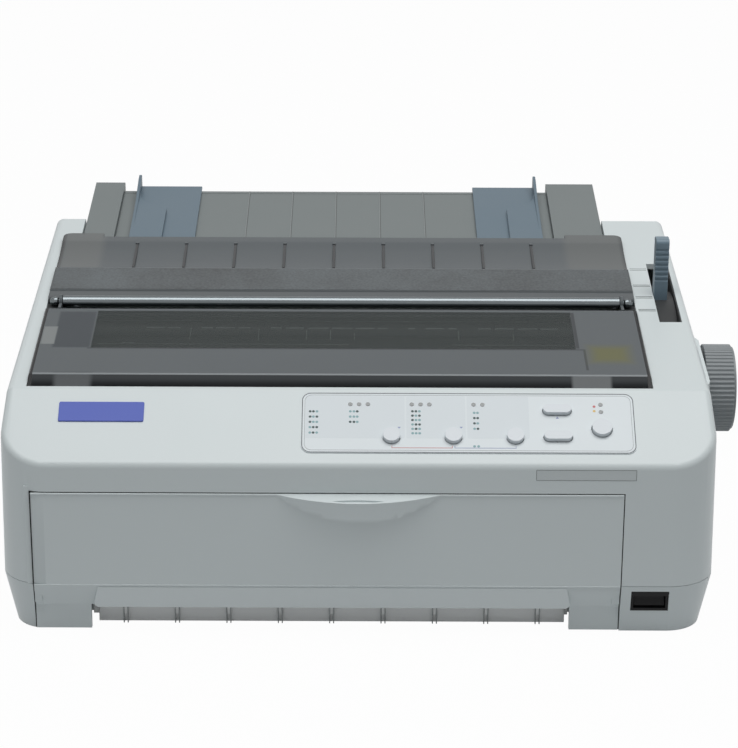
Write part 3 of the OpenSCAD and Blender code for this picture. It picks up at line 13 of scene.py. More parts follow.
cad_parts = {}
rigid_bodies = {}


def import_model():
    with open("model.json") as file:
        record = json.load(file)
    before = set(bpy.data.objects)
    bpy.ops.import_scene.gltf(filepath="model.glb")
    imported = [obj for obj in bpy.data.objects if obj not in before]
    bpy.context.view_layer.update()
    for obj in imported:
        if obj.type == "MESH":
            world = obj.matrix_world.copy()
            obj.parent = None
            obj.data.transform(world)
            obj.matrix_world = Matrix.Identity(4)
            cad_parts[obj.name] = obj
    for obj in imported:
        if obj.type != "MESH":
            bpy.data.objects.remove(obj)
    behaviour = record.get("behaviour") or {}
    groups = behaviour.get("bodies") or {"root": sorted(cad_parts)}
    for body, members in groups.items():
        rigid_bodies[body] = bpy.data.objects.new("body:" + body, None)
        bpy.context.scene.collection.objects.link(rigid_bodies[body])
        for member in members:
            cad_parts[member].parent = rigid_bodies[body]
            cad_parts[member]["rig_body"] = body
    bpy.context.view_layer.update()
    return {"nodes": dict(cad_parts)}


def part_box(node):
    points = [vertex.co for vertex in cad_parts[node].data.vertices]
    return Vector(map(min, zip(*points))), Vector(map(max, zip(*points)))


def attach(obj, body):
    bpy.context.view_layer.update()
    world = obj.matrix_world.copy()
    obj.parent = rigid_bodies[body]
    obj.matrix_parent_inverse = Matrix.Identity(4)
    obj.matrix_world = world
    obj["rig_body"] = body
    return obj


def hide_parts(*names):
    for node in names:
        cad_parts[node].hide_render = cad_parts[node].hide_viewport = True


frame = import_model()

# %% [markdown]
# ## Where things are
# A printer is measured from the middle of its case, its front face and the table. The frame says where
# those are, so every size below can be a plain millimetre that a ruler on the real printer would show.

# %% Places on the printer
MM = 0.001
case_low, case_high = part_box("lower_case")
CASE_MIDDLE = (case_low.x + case_high.x) / 2
CASE_FRONT = case_low.y
CASE_DEPTH = (case_high.y - case_low.y) / MM
EDGE_ROUND = 4.5
FRONT_TOP = 104.3
BREAK_DEPTH = 44.9
BREAK_HEIGHT = 129.5
REAR_TOP = 155.1
SLOPE_TURN = math.atan2(BREAK_HEIGHT - FRONT_TOP, BREAK_DEPTH - EDGE_ROUND)
COVER_TURN = math.atan2(REAR_TOP - BREAK_HEIGHT, CASE_DEPTH - BREAK_DEPTH)
COVER_STRETCH = 1 / math.cos(COVER_TURN)
print("slope", round(math.degrees(SLOPE_TURN), 2), "covers", round(math.degrees(COVER_TURN), 2))


def at(x, y, z):
    """A place in millimetres from the case's middle, front and floor."""
    return Vector((CASE_MIDDLE + x * MM, CASE_FRONT + y * MM, z * MM))


def width_of(node):
    """How far left and right of the case's middle a CAD part ends, in millimetres."""
    low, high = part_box(node)
    return (low.x - CASE_MIDDLE) / MM, (high.x - CASE_MIDDLE) / MM


def cover_height(y):
    """The height of the covers' slope at a depth."""
    return BREAK_HEIGHT + (y - BREAK_DEPTH) * math.tan(COVER_TURN)


# %% [markdown]
# ## Drawing planes
# A flat drawing is easier than one on a slope. So each face of the printer gets a plane: new pieces
# are drawn flat, in millimetres, and laid on their plane at the end. On the plane called ACROSS, the
# drawing's first axis is depth and its second is height, and pulling it up runs across the printer.

# %% The planes of the printer's faces
HATCH_FRONT = 167.0
GUIDE_FRONT = 259.0
GUIDE_DROP = 1.6


def tilted(y, height, turn):
    """A drawing plane that crosses the printer at a depth and height, turned about its width."""
    return Matrix.Translation(at(0, y, height)) @ Matrix.Rotation(turn, 4, "X")


UPRIGHT = math.pi / 2
WHOLE = tilted(0, 0, 0)
ACROSS = Matrix(((0, 0, 1, 0), (1, 0, 0, 0), (0, 1, 0, 0), (0, 0, 0, 1)))
FRONT = tilted(0, 0, UPRIGHT)
BACK = tilted(CASE_DEPTH, 0, UPRIGHT)
SLOPE = tilted(EDGE_ROUND, FRONT_TOP, SLOPE_TURN)
COVERS = tilted(BREAK_DEPTH, BREAK_HEIGHT, COVER_TURN)
HATCH = tilted(HATCH_FRONT, cover_height(HATCH_FRONT), COVER_TURN)
GUIDE = tilted(GUIDE_FRONT, cover_height(GUIDE_FRONT) - GUIDE_DROP, COVER_TURN)
print("rear cover starts at height", round(cover_height(HATCH_FRONT), 1))

# %% [markdown]
# ## The camera
# The picture was taken from the front and above with a long lens. A long lens shows in the sides of
# the printer, which lean in only a little towards the back.

# %% Set up the camera
CAMERA_AT = at(0, -1308.1, 624.2)
CAMERA_DOWN = math.radians(21.69)
CAMERA_ROLL = math.radians(0.23)
CAMERA_LENS = 126.05
CAMERA_SHIFT = (0.0140, 0.1162)
camera_data = bpy.data.cameras.new("camera")
camera_data.lens = CAMERA_LENS
camera_data.sensor_width = 36.0
camera_data.shift_x, camera_data.shift_y = CAMERA_SHIFT
camera_data.clip_end = 20
camera = bpy.data.objects.new("camera", camera_data)
camera.location = CAMERA_AT
tip_up = Matrix.Rotation(math.pi / 2 - CAMERA_DOWN, 3, "X")
camera.rotation_euler = (tip_up @ Matrix.Rotation(CAMERA_ROLL, 3, "Z")).to_euler()
bpy.context.scene.collection.objects.link(camera)
bpy.context.scene.camera = camera
bpy.context.scene.view_settings.view_transform = "Standard"
print("camera at", [round(v, 3) for v in CAMERA_AT], "lens", CAMERA_LENS)

# %% [markdown]
# ## The floor and the light
# A product picture has a seamless pale floor and one large soft lamp overhead. The lamp hangs high
# over the printer's front edge, so all that faces up is bright and the upright front falls into a
# soft shade. Floor and room look white where they are seen, straight on, in a gloss or through the
# smoked plastic, but light the printer as pale grey paper and a dim room would.


# %% Helpers that wire shader nodes
def feed(tree, value, socket):
    """Gives a socket a fixed value, or what another node puts out."""
    if isinstance(value, bpy.types.NodeSocket):
        tree.links.new(value, socket)
    else:
        socket.default_value = value


def wired(tree, kind, work, *values):
    """A maths node with its work and its inputs set. Gives back its first output."""
    node = tree.nodes.new(kind)
    node.operation = work
    for value, socket in zip(values, node.inputs):
        feed(tree, value, socket)
    return node.outputs[0]


def whitened(tree, lit, share, white_kind, output_kind):
    """Mixes plain white over a surface, but only for what the camera, gloss and glass see of it."""
    rays = tree.nodes.new("ShaderNodeLightPath").outputs
    seen = rays["Is Camera Ray"]
    for ray in ("Is Glossy Ray", "Is Transmission Ray"):
        seen = wired(tree, "ShaderNodeMath", "MAXIMUM", seen, rays[ray])
    white = tree.nodes.new(white_kind)
    white.inputs["Strength"].default_value = 1.0
    mix = tree.nodes.new("ShaderNodeMixShader")
    blend = wired(tree, "ShaderNodeMath", "MULTIPLY", seen, share)
    for value, socket in zip((blend, lit.outputs[0], white.outputs[0]), mix.inputs):
        feed(tree, value, socket)
    feed(tree, mix.outputs[0], tree.nodes.new(output_kind).inputs["Surface"])


print("ready to wire nodes:", feed.__name__, wired.__name__, whitened.__name__)

# %% Floor
FLOOR_SIZE = 12
FLOOR_PAPER = (0.62, 0.63, 0.64, 1)
FLOOR_WHITE = 0.975
bpy.ops.mesh.primitive_plane_add(size=FLOOR_SIZE, location=(0, 2, 0))
floor = bpy.context.object
floor.name = "floor"
floor_paint = bpy.data.materials.new("floor_paper")
floor_paint.use_nodes = True
floor_paint.node_tree.nodes.clear()
paper = floor_paint.node_tree.nodes.new("ShaderNodeBsdfDiffuse")
paper.inputs["Color"].default_value = FLOOR_PAPER
whitened(floor_paint.node_tree, paper, FLOOR_WHITE, "ShaderNodeEmission", "ShaderNodeOutputMaterial")
floor.data.materials.append(floor_paint)
print("floor", FLOOR_SIZE, "m wide")

# %% Room
ROOM_TINT = (0.95, 0.98, 1.0, 1)
ROOM_LIGHT = 0.22
studio = bpy.data.worlds.new("studio")
bpy.context.scene.world = studio
studio.use_nodes = True
studio.node_tree.nodes.clear()
room = studio.node_tree.nodes.new("ShaderNodeBackground")
room.inputs["Color"].default_value = ROOM_TINT
room.inputs["Strength"].default_value = ROOM_LIGHT
whitened(studio.node_tree, room, 1.0, "ShaderNodeBackground", "ShaderNodeOutputWorld")
print("room light", ROOM_LIGHT)


# %% Lamp
def soft_lamp(name, place, aim, width, depth, power):
    """A rectangular lamp that faces a point."""
    data = bpy.data.lights.new(name, "AREA")
    data.shape = "RECTANGLE"
    data.size = width
    data.size_y = depth
    data.energy = power
    lamp = bpy.data.objects.new(name, data)
    lamp.location = place
    lamp.rotation_euler = (Vector(aim) - Vector(place)).to_track_quat("-Z", "Y").to_euler()
    bpy.context.scene.collection.objects.link(lamp)


soft_lamp("overhead", place=(0.1, -0.3, 1.8), aim=(0, 0, 0.1), width=2.2, depth=1.1, power=26)
print("lamps", len(bpy.data.lights))

# %% [markdown]
# ## Shared effects
# Moulded plastic is never one flat colour. The mould gives it a fine grain, and thick and thin walls
# cool a little differently. Both effects are built once as a node group and used by every plastic.


# %% Node group for moulded plastic
def group_with(name, inputs, outputs):
    """An empty shader node group with named sockets."""
    group = bpy.data.node_groups.new(name, "ShaderNodeTree")
    for label, kind, value in inputs:
        socket = group.interface.new_socket(label, in_out="INPUT", socket_type="NodeSocket" + kind)
        socket.default_value = value
    for label, kind in outputs:
        group.interface.new_socket(label, in_out="OUTPUT", socket_type="NodeSocket" + kind)
    given, gives = group.nodes.new("NodeGroupInput"), group.nodes.new("NodeGroupOutput")
    return group, given.outputs, gives.inputs


def noise(tree, place, scale, detail=2.0):
    """Cloudy noise over a place, with so many clouds a metre."""
    cloud = tree.nodes.new("ShaderNodeTexNoise")
    cloud.inputs["Detail"].default_value = detail
    feed(tree, place, cloud.inputs["Vector"])
    feed(tree, scale, cloud.inputs["Scale"])
    return cloud.outputs["Fac"]


CLOUDS_A_METRE = 22.0
GLOSS_SPREAD = 0.12


def build_moulded():
    """Fine grain and broad clouds together vary the colour and the gloss; the grain gives height."""
    group, given, gives = group_with(
        "moulded_surface",
        [("Colour", "Color", (0.5, 0.5, 0.5, 1)), ("Roughness", "Float", 0.45),
         ("Grain per metre", "Float", 1400.0), ("Mottle", "Float", 0.04)],
        [("Colour", "Color"), ("Roughness", "Float"), ("Height", "Float")])
    place = group.nodes.new("ShaderNodeTexCoord").outputs["Object"]
    grain = noise(group, place, given["Grain per metre"])
    cloud = noise(group, place, CLOUDS_A_METRE, 3.0)
    both = wired(group, "ShaderNodeMath", "ADD", grain, cloud)
    centred = wired(group, "ShaderNodeMath", "SUBTRACT", both, 1.0)
    shade_level = wired(group, "ShaderNodeMath", "MULTIPLY_ADD", centred, given["Mottle"], 1.0)
    gloss = wired(group, "ShaderNodeMath", "MULTIPLY_ADD", centred, GLOSS_SPREAD, given["Roughness"])
    tinted = group.nodes.new("ShaderNodeVectorMath")
    tinted.operation = "SCALE"
    feed(group, given["Colour"], tinted.inputs[0])
    feed(group, shade_level, tinted.inputs["Scale"])
    for label, value in (("Colour", tinted.outputs[0]), ("Roughness", gloss), ("Height", grain)):
        feed(group, value, gives[label])
    return group


moulded_group = build_moulded()
print("node group", moulded_group.name, "with", len(moulded_group.nodes), "nodes")


# %% A moulded plastic
def new_material(name):
    """A material with its node tree and its shader."""
    material = bpy.data.materials.new(name)
    material.use_nodes = True
    return material, material.node_tree, material.node_tree.nodes["Principled BSDF"]


GRAIN_HEIGHT = 0.0004
COAT_ROUGHNESS = 0.15


def moulded(name, colour, roughness, grain, depth, mottle, coat=0.0, sheen=0.5):
    """A moulded plastic: grain and colour come from the shared group."""
    material, tree, shader = new_material(name)
    surface = tree.nodes.new("ShaderNodeGroup")
    surface.node_tree = moulded_group
    for label, value in (("Colour", (*colour, 1)), ("Roughness", roughness), ("Grain per metre", grain),
                         ("Mottle", mottle)):
        surface.inputs[label].default_value = value
    bump = tree.nodes.new("ShaderNodeBump")
    bump.inputs["Strength"].default_value = depth
    bump.inputs["Distance"].default_value = GRAIN_HEIGHT
    feed(tree, surface.outputs["Height"], bump.inputs["Height"])
    for target, value in (("Base Color", surface.outputs["Colour"]),
                          ("Roughness", surface.outputs["Roughness"]), ("Normal", bump.outputs["Normal"]),
                          ("Coat Weight", coat), ("Coat Roughness", COAT_ROUGHNESS),
                          ("Specular IOR Level", sheen)):
        feed(tree, value, shader.inputs[target])
    return material


pale_case = moulded("pale_case", (0.65, 0.705, 0.71), 0.40, 1500, 0.02, 0.012)
guide_grey = moulded("guide_grey", (0.178, 0.20, 0.20), 0.55, 1800, 0.05, 0.03)
guide_rib_pale = moulded("guide_rib_pale", (0.23, 0.25, 0.25), 0.5, 1800, 0.02, 0.03)
guide_rib_dark = moulded("guide_rib_dark", (0.09, 0.10, 0.10), 0.6, 1800, 0.02, 0.03)
guide_blue = moulded("guide_blue", (0.115, 0.165, 0.205), 0.45, 1500, 0.02, 0.03)
lever_blue = moulded("lever_blue", (0.15, 0.215, 0.265), 0.4, 1500, 0.02, 0.03)
knob_grey = moulded("knob_grey", (0.23, 0.25, 0.26), 0.45, 1500, 0.03, 0.04)
black_plastic = moulded("black_plastic", (0.009, 0.009, 0.01), 0.5, 1500, 0.03, 0.05, sheen=0.22)
dark_plastic = moulded("dark_plastic", (0.05, 0.052, 0.055), 0.45, 1500, 0.03, 0.05)
glint = moulded("glint", (0.62, 0.66, 0.66), 0.3, 1500, 0.0, 0.05)
unit_grey = moulded("unit_grey", (0.16, 0.18, 0.175), 0.5, 1500, 0.03, 0.05)
rubber = moulded("rubber", (0.02, 0.02, 0.02), 0.75, 2200, 0.08, 0.08)
button_white = moulded("button_white", (0.66, 0.70, 0.73), 0.32, 1500, 0.01, 0.01)
panel_sheet = moulded("panel_sheet", (0.68, 0.73, 0.75), 0.38, 2600, 0.02, 0.008)
nameplate_violet = moulded("nameplate_violet", (0.092, 0.132, 0.48), 0.62, 2000, 0.01, 0.02)
lamp_resin = moulded("lamp_resin", (0.12, 0.135, 0.135), 0.25, 1500, 0.0, 0.05, coat=0.6)
gear_resin = moulded("gear_resin", (0.72, 0.70, 0.62), 0.4, 1500, 0.02, 0.03)
board_green = moulded("board_green", (0.02, 0.12, 0.05), 0.35, 700, 0.03, 0.12, coat=0.3)
ribbon_cloth = moulded("ribbon_cloth", (0.01, 0.01, 0.014), 0.9, 3500, 0.2, 0.2)
motor_black = moulded("motor_black", (0.03, 0.03, 0.033), 0.35, 1200, 0.02, 0.08)
# Much paler than the case: painted light, so that the paper strip and its slot stay bright in the shade under
# the front cover.
strip_lit_pale = moulded("strip_lit_pale", (0.94, 0.95, 0.94), 0.45, 1500, 0.02, 0.012)
panel_tint = moulded("panel_tint", (0.64, 0.69, 0.715), 0.4, 2600, 0.02, 0.008)
label_grey = moulded("label_grey", (0.58, 0.625, 0.63), 0.45, 1500, 0.02, 0.01)
# Much darker than the smoked cover: painted shade, so that the rear cover's ribs show as dark lines.
hatch_rib_shade = moulded("hatch_rib_shade", (0.02, 0.022, 0.024), 0.35, 900, 0.01, 0.02)
slot_shade = moulded("slot_shade", (0.04, 0.042, 0.043), 0.5, 1500, 0.02, 0.05, sheen=0.25)
# Darker than the strip: painted shade for the thin dark lines beside the strip's ribs.
rib_shade = moulded("rib_shade", (0.38, 0.40, 0.40), 0.5, 1500, 0.02, 0.02)
# A paler copy of the case colour: painted light on the front cover's lower lip, which faces down towards the
# bright floor.
lip_lit_pale = moulded("lip_lit_pale", (0.72, 0.775, 0.78), 0.4, 1500, 0.02, 0.012)
print("materials so far", len(bpy.data.materials))

# %% [markdown]
# ## Smoked plastic
# The two covers are dark clear plastic, and yet no two places of them look alike: there are thin and
# thick walls, a clear window and the dark of the machine below. Light and shade are painted in too:
# painted light at bright edges where light comes through, a painted highlight along the fold of the
# lid's lip, and painted shade along the covers' side edges, where the gaps to the case are. One node
# group makes a soft-edged rectangle on the plan, and each cover mixes its own row of such patches over
# its colour, gloss and clearness.


# %% Node group for a soft patch
def build_patch():
    """One where an Object place lies inside a box on the plan, with a soft edge; zero outside."""
    group, given, gives = group_with(
        "patch",
        [("Middle", "Vector", (0, 0, 0)), ("Half size", "Vector", (1, 1, 1)), ("Blur", "Float", 0.001)],
        [("Mask", "Float")])
    place = group.nodes.new("ShaderNodeTexCoord").outputs["Object"]
    away = wired(group, "ShaderNodeVectorMath", "SUBTRACT", place, given["Middle"])
    away = wired(group, "ShaderNodeVectorMath", "ABSOLUTE", away)
    away = wired(group, "ShaderNodeVectorMath", "SUBTRACT", away, given["Half size"])
    parts = group.nodes.new("ShaderNodeSeparateXYZ")
    feed(group, away, parts.inputs[0])
    outside = wired(group, "ShaderNodeMath", "MAXIMUM", parts.outputs["X"], parts.outputs["Y"])
    fade = group.nodes.new("ShaderNodeMapRange")
    fade.interpolation_type = "SMOOTHSTEP"
    for label, value in (("Value", outside), ("From Max", given["Blur"]), ("To Min", 1), ("To Max", 0)):
        feed(group, value, fade.inputs[label])
    feed(group, fade.outputs["Result"], gives["Mask"])
    return group


patch_group = build_patch()
print("node group", patch_group.name, "with", len(patch_group.nodes), "nodes")


# %% A plastic with patches
def mixed(tree, share, below, above, kind):
    """Mixes one colour or number over another by a mask. Gives back the mixed output."""
    mix = tree.nodes.new("ShaderNodeMix")
    mix.data_type = "RGBA" if kind == "Color" else "FLOAT"
    sockets = {socket.identifier: socket for socket in [*mix.inputs, *mix.outputs]}
    feed(tree, share, sockets["Factor_Float"])
    feed(tree, below, sockets["A_" + kind])
    feed(tree, above, sockets["B_" + kind])
    return sockets["Result_" + kind]


def patched(name, colour, roughness, alpha, grain, mottle, sheen, patches):
    """A clear plastic whose colour, gloss and clearness change from patch to patch of its plan."""
    material = moulded(name, colour, roughness, grain, 0.0, mottle, sheen=sheen)
    tree = material.node_tree
    shader = tree.nodes["Principled BSDF"]
    levels = {"Base Color": shader.inputs["Base Color"].links[0].from_socket,
              "Roughness": shader.inputs["Roughness"].links[0].from_socket, "Alpha": alpha}
    for low, high, blur, tint, gloss, clear in patches:
        mask = tree.nodes.new("ShaderNodeGroup")
        mask.node_tree = patch_group
        start, end = at(*low, 0), at(*high, 0)
        for label, value in (("Middle", (start + end) / 2), ("Half size", (end - start) / 2),
                             ("Blur", blur * MM)):
            mask.inputs[label].default_value = value
        for target, value, kind in (("Base Color", (*tint, 1), "Color"), ("Roughness", gloss, "Float"),
                                    ("Alpha", clear, "Float")):
            levels[target] = mixed(tree, mask.outputs["Mask"], levels[target], value, kind)
    for target, level in levels.items():
        feed(tree, level, shader.inputs[target])
    return material


print("ready to mix patches:", mixed.__name__, patched.__name__)

# %% Smoked plastics of the lid and the rear cover
# A patch is its left front corner, right rear corner, blur, colour, roughness and alpha.
CLEAR = (0.035, 0.045, 0.044)
HAZE = (0.118, 0.132, 0.14)
smoked_lid = patched("smoked_lid", HAZE, 0.34, 0.9, 2600, 0.10, 0.18, [
    ((-151, 87), (122, 136), 0.6, CLEAR, 0.24, 0.55),
    ((122.6, 88), (124.2, 136), 0.3, (0.05, 0.055, 0.06), 0.3, 0.9),
    ((-153, 85.6), (127, 86.6), 0.3, (0.05, 0.055, 0.06), 0.3, 0.9),
    ((126.4, 60), (127.4, 86.6), 0.4, (0.06, 0.066, 0.07), 0.3, 0.9),
    ((-172, 88), (-153, 134), 2.0, (0.062, 0.072, 0.082), 0.3, 0.85),
    ((-179.5, 92), (-173, 114), 1.2, (0.22, 0.235, 0.235), 0.35, 0.95),
    ((136, 76), (146, 85), 11.0, (0.15, 0.15, 0.07), 0.34, 0.9),
    ((-190, 40), (170, 53.4), 0.2, (0.03, 0.034, 0.037), 0.6, 0.97),
    ((-190, 40), (170, 46.5), 5.5, (0.002, 0.003, 0.004), 0.8, 0.97),
    ((119, 40), (138, 53.0), 2.5, (0.12, 0.13, 0.135), 0.3, 0.9),
    ((-166, 40), (-150, 53.0), 4.0, (0.075, 0.083, 0.088), 0.3, 0.9),
    # A painted highlight along the fold between the lid's top and its lip.
    ((-181, 53.5), (160, 54.2), 0.4, (0.24, 0.26, 0.27), 0.25, 0.97),
    # Painted shade along the lid's left and right edges, where the gaps to the case are.
    ((-190, 30), (-180.6, 160), 0.3, (0.008, 0.009, 0.01), 0.25, 0.97),
    ((159.5, 30), (170, 160), 0.3, (0.008, 0.009, 0.01), 0.25, 0.97)])
smoked_hatch = patched("smoked_hatch", (0.092, 0.106, 0.114), 0.34, 0.93, 900, 0.03, 0.4, [
    # Painted shade along the rear cover's left and right edges, where the gaps to the case are.
    ((-190, 140), (-180.6, 260), 0.3, (0.012, 0.013, 0.015), 0.25, 0.97),
    ((159.5, 140), (170, 260), 0.3, (0.012, 0.013, 0.015), 0.25, 0.97),
    ((-190, 168), (170, 198), 0.4, (0.07, 0.08, 0.084), 0.42, 0.95),
    ((-178, 205), (-160, 250), 6.0, (0.13, 0.14, 0.14), 0.34, 0.93),
    ((129, 205), (158, 250), 6.0, (0.12, 0.13, 0.13), 0.34, 0.93),
    ((-190, 150), (170, 167), 0.4, (0.085, 0.096, 0.102), 0.2, 0.93)])
smoked_grain = moulded("smoked_grain", (0.070, 0.081, 0.086), 0.45, 700, 0.05, 1.6)
print("nodes in the lid's plastic", len(smoked_lid.node_tree.nodes))

# %% [markdown]
# ## Ink and metal
# Printing ink is matt and has no grain of its own. Drawn or turned metal carries fine lines along its
# length, which a noise stretched along the width gives.


# %% Printing inks
def ink(name, colour):
    """A matt printing ink."""
    return moulded(name, colour, roughness=0.6, grain=2600, depth=0.0, mottle=0.03)


ink_dark = ink("ink_dark", (0.09, 0.10, 0.11))
ink_grey = ink("ink_grey", (0.30, 0.32, 0.33))
# A dark colour for the case's moulded lines and the label field's outline: painted shade of moulded edges.
case_line_shade = ink("case_line_shade", (0.22, 0.24, 0.24))
ink_dark_green = ink("ink_dark_green", (0.055, 0.085, 0.085))
ink_teal = ink("ink_teal", (0.25, 0.40, 0.42))
ink_red = ink("ink_red", (0.55, 0.17, 0.17))
ink_yellow = ink("ink_yellow", (0.72, 0.50, 0.18))
ink_blue = ink("ink_blue", (0.28, 0.32, 0.50))
print("materials with the inks", len(bpy.data.materials))


# %% Metals
BRUSH_STRETCH = (0.04, 1.0, 1.0)
BRUSH_SPREAD = 0.08
BRUSH_SHADE = 0.9


def metal(name, colour, roughness, brush=900.0):
    """Sheet or turned metal, with fine lines along its length."""
    material, tree, shader = new_material(name)
    along = tree.nodes.new("ShaderNodeMapping")
    along.inputs["Scale"].default_value = BRUSH_STRETCH
    feed(tree, tree.nodes.new("ShaderNodeTexCoord").outputs["Object"], along.inputs["Vector"])
    lines = noise(tree, along.outputs["Vector"], brush)
    spread = tree.nodes.new("ShaderNodeMapRange")
    for label, value in (("Value", lines), ("To Min", roughness - BRUSH_SPREAD),
                         ("To Max", roughness + BRUSH_SPREAD)):
        feed(tree, value, spread.inputs[label])
    shaded = (*[level * BRUSH_SHADE for level in colour], 1)
    feed(tree, mixed(tree, lines, shaded, (*colour, 1), "Color"), shader.inputs["Base Color"])
    feed(tree, spread.outputs["Result"], shader.inputs["Roughness"])
    shader.inputs["Metallic"].default_value = 1.0
    return material


rod_dark = metal("rod_dark", (0.18, 0.20, 0.21), 0.24, 1800)
sheet_steel = metal("sheet_steel", (0.62, 0.63, 0.65), 0.34)
turned_steel = metal("turned_steel", (0.72, 0.73, 0.75), 0.22, 1500)
print("materials", len(bpy.data.materials))

# %% [markdown]
# ## Carrying a CAD part over
# A CAD solid has knife-sharp edges, and real plastic has none: the light always catches a small
# rounding. Each visible part is copied, its loose triangles are merged into whole faces, and a bevel
# rounds what is left of the edges. The copy then stands for the CAD part.


# %% Helpers that select, shade and round a part
def only(*objects):
    """Selects these objects alone and makes the first one active."""
    if bpy.context.mode != "OBJECT":
        bpy.ops.object.mode_set(mode="OBJECT")
    bpy.ops.object.select_all(action="DESELECT")
    for item in objects:
        item.select_set(True)
    bpy.context.view_layer.objects.active = objects[0]


def shade(piece, angle=35):
    """Smooth shading on round faces, and flat faces kept flat beside them."""
    only(piece)
    bpy.ops.object.shade_smooth_by_angle(angle=math.radians(angle))
    even = piece.modifiers.new("even_shading", "WEIGHTED_NORMAL")
    even.keep_sharp = True
    even.weight = 100
    bpy.ops.object.modifier_apply(modifier=even.name)
    return piece


def soften(piece, width, steps=2, angle=35):
    """Rounds a piece's edges by a bevel, and shades it smooth where it is round."""
    only(piece)
    bevel = piece.modifiers.new("soft_edges", "BEVEL")
    bevel.width = width * MM
    bevel.segments = steps
    bevel.limit_method = "ANGLE"
    bevel.angle_limit = math.radians(angle)
    bpy.ops.object.modifier_apply(modifier=bevel.name)
    return shade(piece, angle)


print("ready to round edges:", only.__name__, shade.__name__, soften.__name__)

# %% Helpers that copy and hand over a part
MERGE_WITHIN = 0.002
FLAT_WITHIN = math.radians(0.5)


def hand_over(piece, name, body, material, slot, *replaced):
    """Names and paints a finished piece, and ties it to its moving body."""
    piece.name = name
    piece.data.name = name
    piece.data.materials.clear()
    piece.data.materials.append(material)
    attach(piece, body)
    if replaced:
        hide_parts(*replaced)
    return piece


def carry(node, name, material, slot, width=0.5, steps=2):
    """A refined copy of a CAD part that stands for it, on the same moving body."""
    piece = bpy.data.objects.new(name, frame["nodes"][node].data.copy())
    bpy.context.scene.collection.objects.link(piece)
    only(piece)
    bpy.ops.object.mode_set(mode="EDIT")
    bpy.ops.mesh.select_all(action="SELECT")
    bpy.ops.mesh.remove_doubles(threshold=MERGE_WITHIN * MM)
    bpy.ops.mesh.dissolve_limited(angle_limit=FLAT_WITHIN)
    bpy.ops.object.mode_set(mode="OBJECT")
    soften(piece, width, steps)
    return hand_over(piece, name, frame["nodes"][node]["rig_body"], material, slot, node)


print("CAD parts to dress", len(frame["nodes"]))

# %% [markdown]
# ## Modelling by hand
# New pieces start as a primitive of the right size. Their faces and edges are picked by where they
# lie, and shaped with the same tools as in edit mode. The helpers below are those hand movements:
# place a box or a disc, pick, shift, stretch and pull.


# %% Helpers that place and pick
DISC_SIDES = 16


def block(low, high):
    """A box between two corners, in millimetres on its drawing plane."""
    low, high = Vector(low) * MM, Vector(high) * MM
    bpy.ops.mesh.primitive_cube_add(size=1, location=(low + high) / 2)
    piece = bpy.context.object
    piece.scale = high - low
    only(piece)
    bpy.ops.object.transform_apply(location=True, rotation=True, scale=True)
    return piece


def disc(x, y, radius, low, high):
    """A short round piece that stands on its drawing plane."""
    bpy.ops.mesh.primitive_cylinder_add(vertices=DISC_SIDES, radius=radius * MM, depth=(high - low) * MM,
                                        location=(x * MM, y * MM, (low + high) / 2 * MM))
    only(bpy.context.object)
    bpy.ops.object.transform_apply(location=True, rotation=True, scale=True)
    return bpy.context.object


def pick(piece, kind, test):
    """Opens a piece for editing, with the faces, edges or points picked that pass a test."""
    only(piece)
    mesh = piece.data
    for part in (mesh.vertices, mesh.edges, mesh.polygons):
        part.foreach_set("select", [False] * len(part))
    bpy.context.tool_settings.mesh_select_mode = (kind == "VERT", kind == "EDGE", kind == "FACE")
    if kind == "FACE":
        for face in mesh.polygons:
            face.select = bool(test(face.center / MM, face.normal))
    elif kind == "EDGE":
        for edge in mesh.edges:
            start, end = (mesh.vertices[v].co / MM for v in edge.vertices)
            edge.select = bool(test((start + end) / 2, (end - start).normalized()))
    else:
        for point in mesh.vertices:
            point.select = bool(test(point.co / MM, point.normal))
    bpy.ops.object.mode_set(mode="EDIT")


def done(outward=False):
    """Closes the editing of a piece, with its normals turned outwards where asked."""
    if outward:
        bpy.ops.mesh.select_all(action="SELECT")
        bpy.ops.mesh.normals_make_consistent(inside=False)
    bpy.ops.object.mode_set(mode="OBJECT")


def everywhere(co, direction):
    """The test that picks all of a piece."""
    return True


def pull(x, y, z):
    """Extrudes what is picked, by millimetres."""
    bpy.ops.mesh.extrude_region_move(TRANSFORM_OT_translate={"value": Vector((x, y, z)) * MM})


def shift(piece, test, move):
    """Moves the points that pass a test, by millimetres."""
    pick(piece, "VERT", test)
    bpy.ops.transform.translate(value=Vector(move) * MM)
    done()


def stretch(piece, test, share, middle=0.0):
    """Stretches the points that pass a test in width, about a place in millimetres."""
    pick(piece, "VERT", test)
    bpy.ops.transform.resize(value=(share, 1, 1), center_override=(middle * MM, 0, 0))
    done()


def thicken(piece, wall):
    """Gives an open shell its wall, inwards."""
    only(piece)
    layer = piece.modifiers.new("wall", "SOLIDIFY")
    layer.thickness = wall * MM
    layer.offset = -1
    bpy.ops.object.modifier_apply(modifier=layer.name)


print("ready to model by hand:", block.__name__, disc.__name__, pick.__name__, pull.__name__)


# %% Helpers that draw whole shapes
def first_point(place):
    """A piece of a single point, open for editing, to pull edges from."""
    bpy.ops.mesh.primitive_plane_add(size=1, location=(0, 0, 0))
    piece = bpy.context.object
    only(piece)
    bpy.context.tool_settings.mesh_select_mode = (True, False, False)
    bpy.ops.object.mode_set(mode="EDIT")
    bpy.ops.mesh.select_all(action="SELECT")
    bpy.ops.mesh.merge(type="CENTER")
    bpy.ops.transform.translate(value=place * MM)
    return piece


def outline(points, base, top):
    """A flat shape drawn point by point, filled, and pulled up to its height."""
    here = Vector((*points[0], base))
    piece = first_point(here)
    for point in points[1:]:
        there = Vector((*point, base))
        bpy.ops.mesh.extrude_vertices_move(TRANSFORM_OT_translate={"value": (there - here) * MM})
        here = there
    bpy.ops.mesh.select_all(action="SELECT")
    bpy.ops.mesh.edge_face_add()
    bpy.ops.mesh.select_all(action="SELECT")
    pull(0, 0, top - base)
    done(outward=True)
    return piece


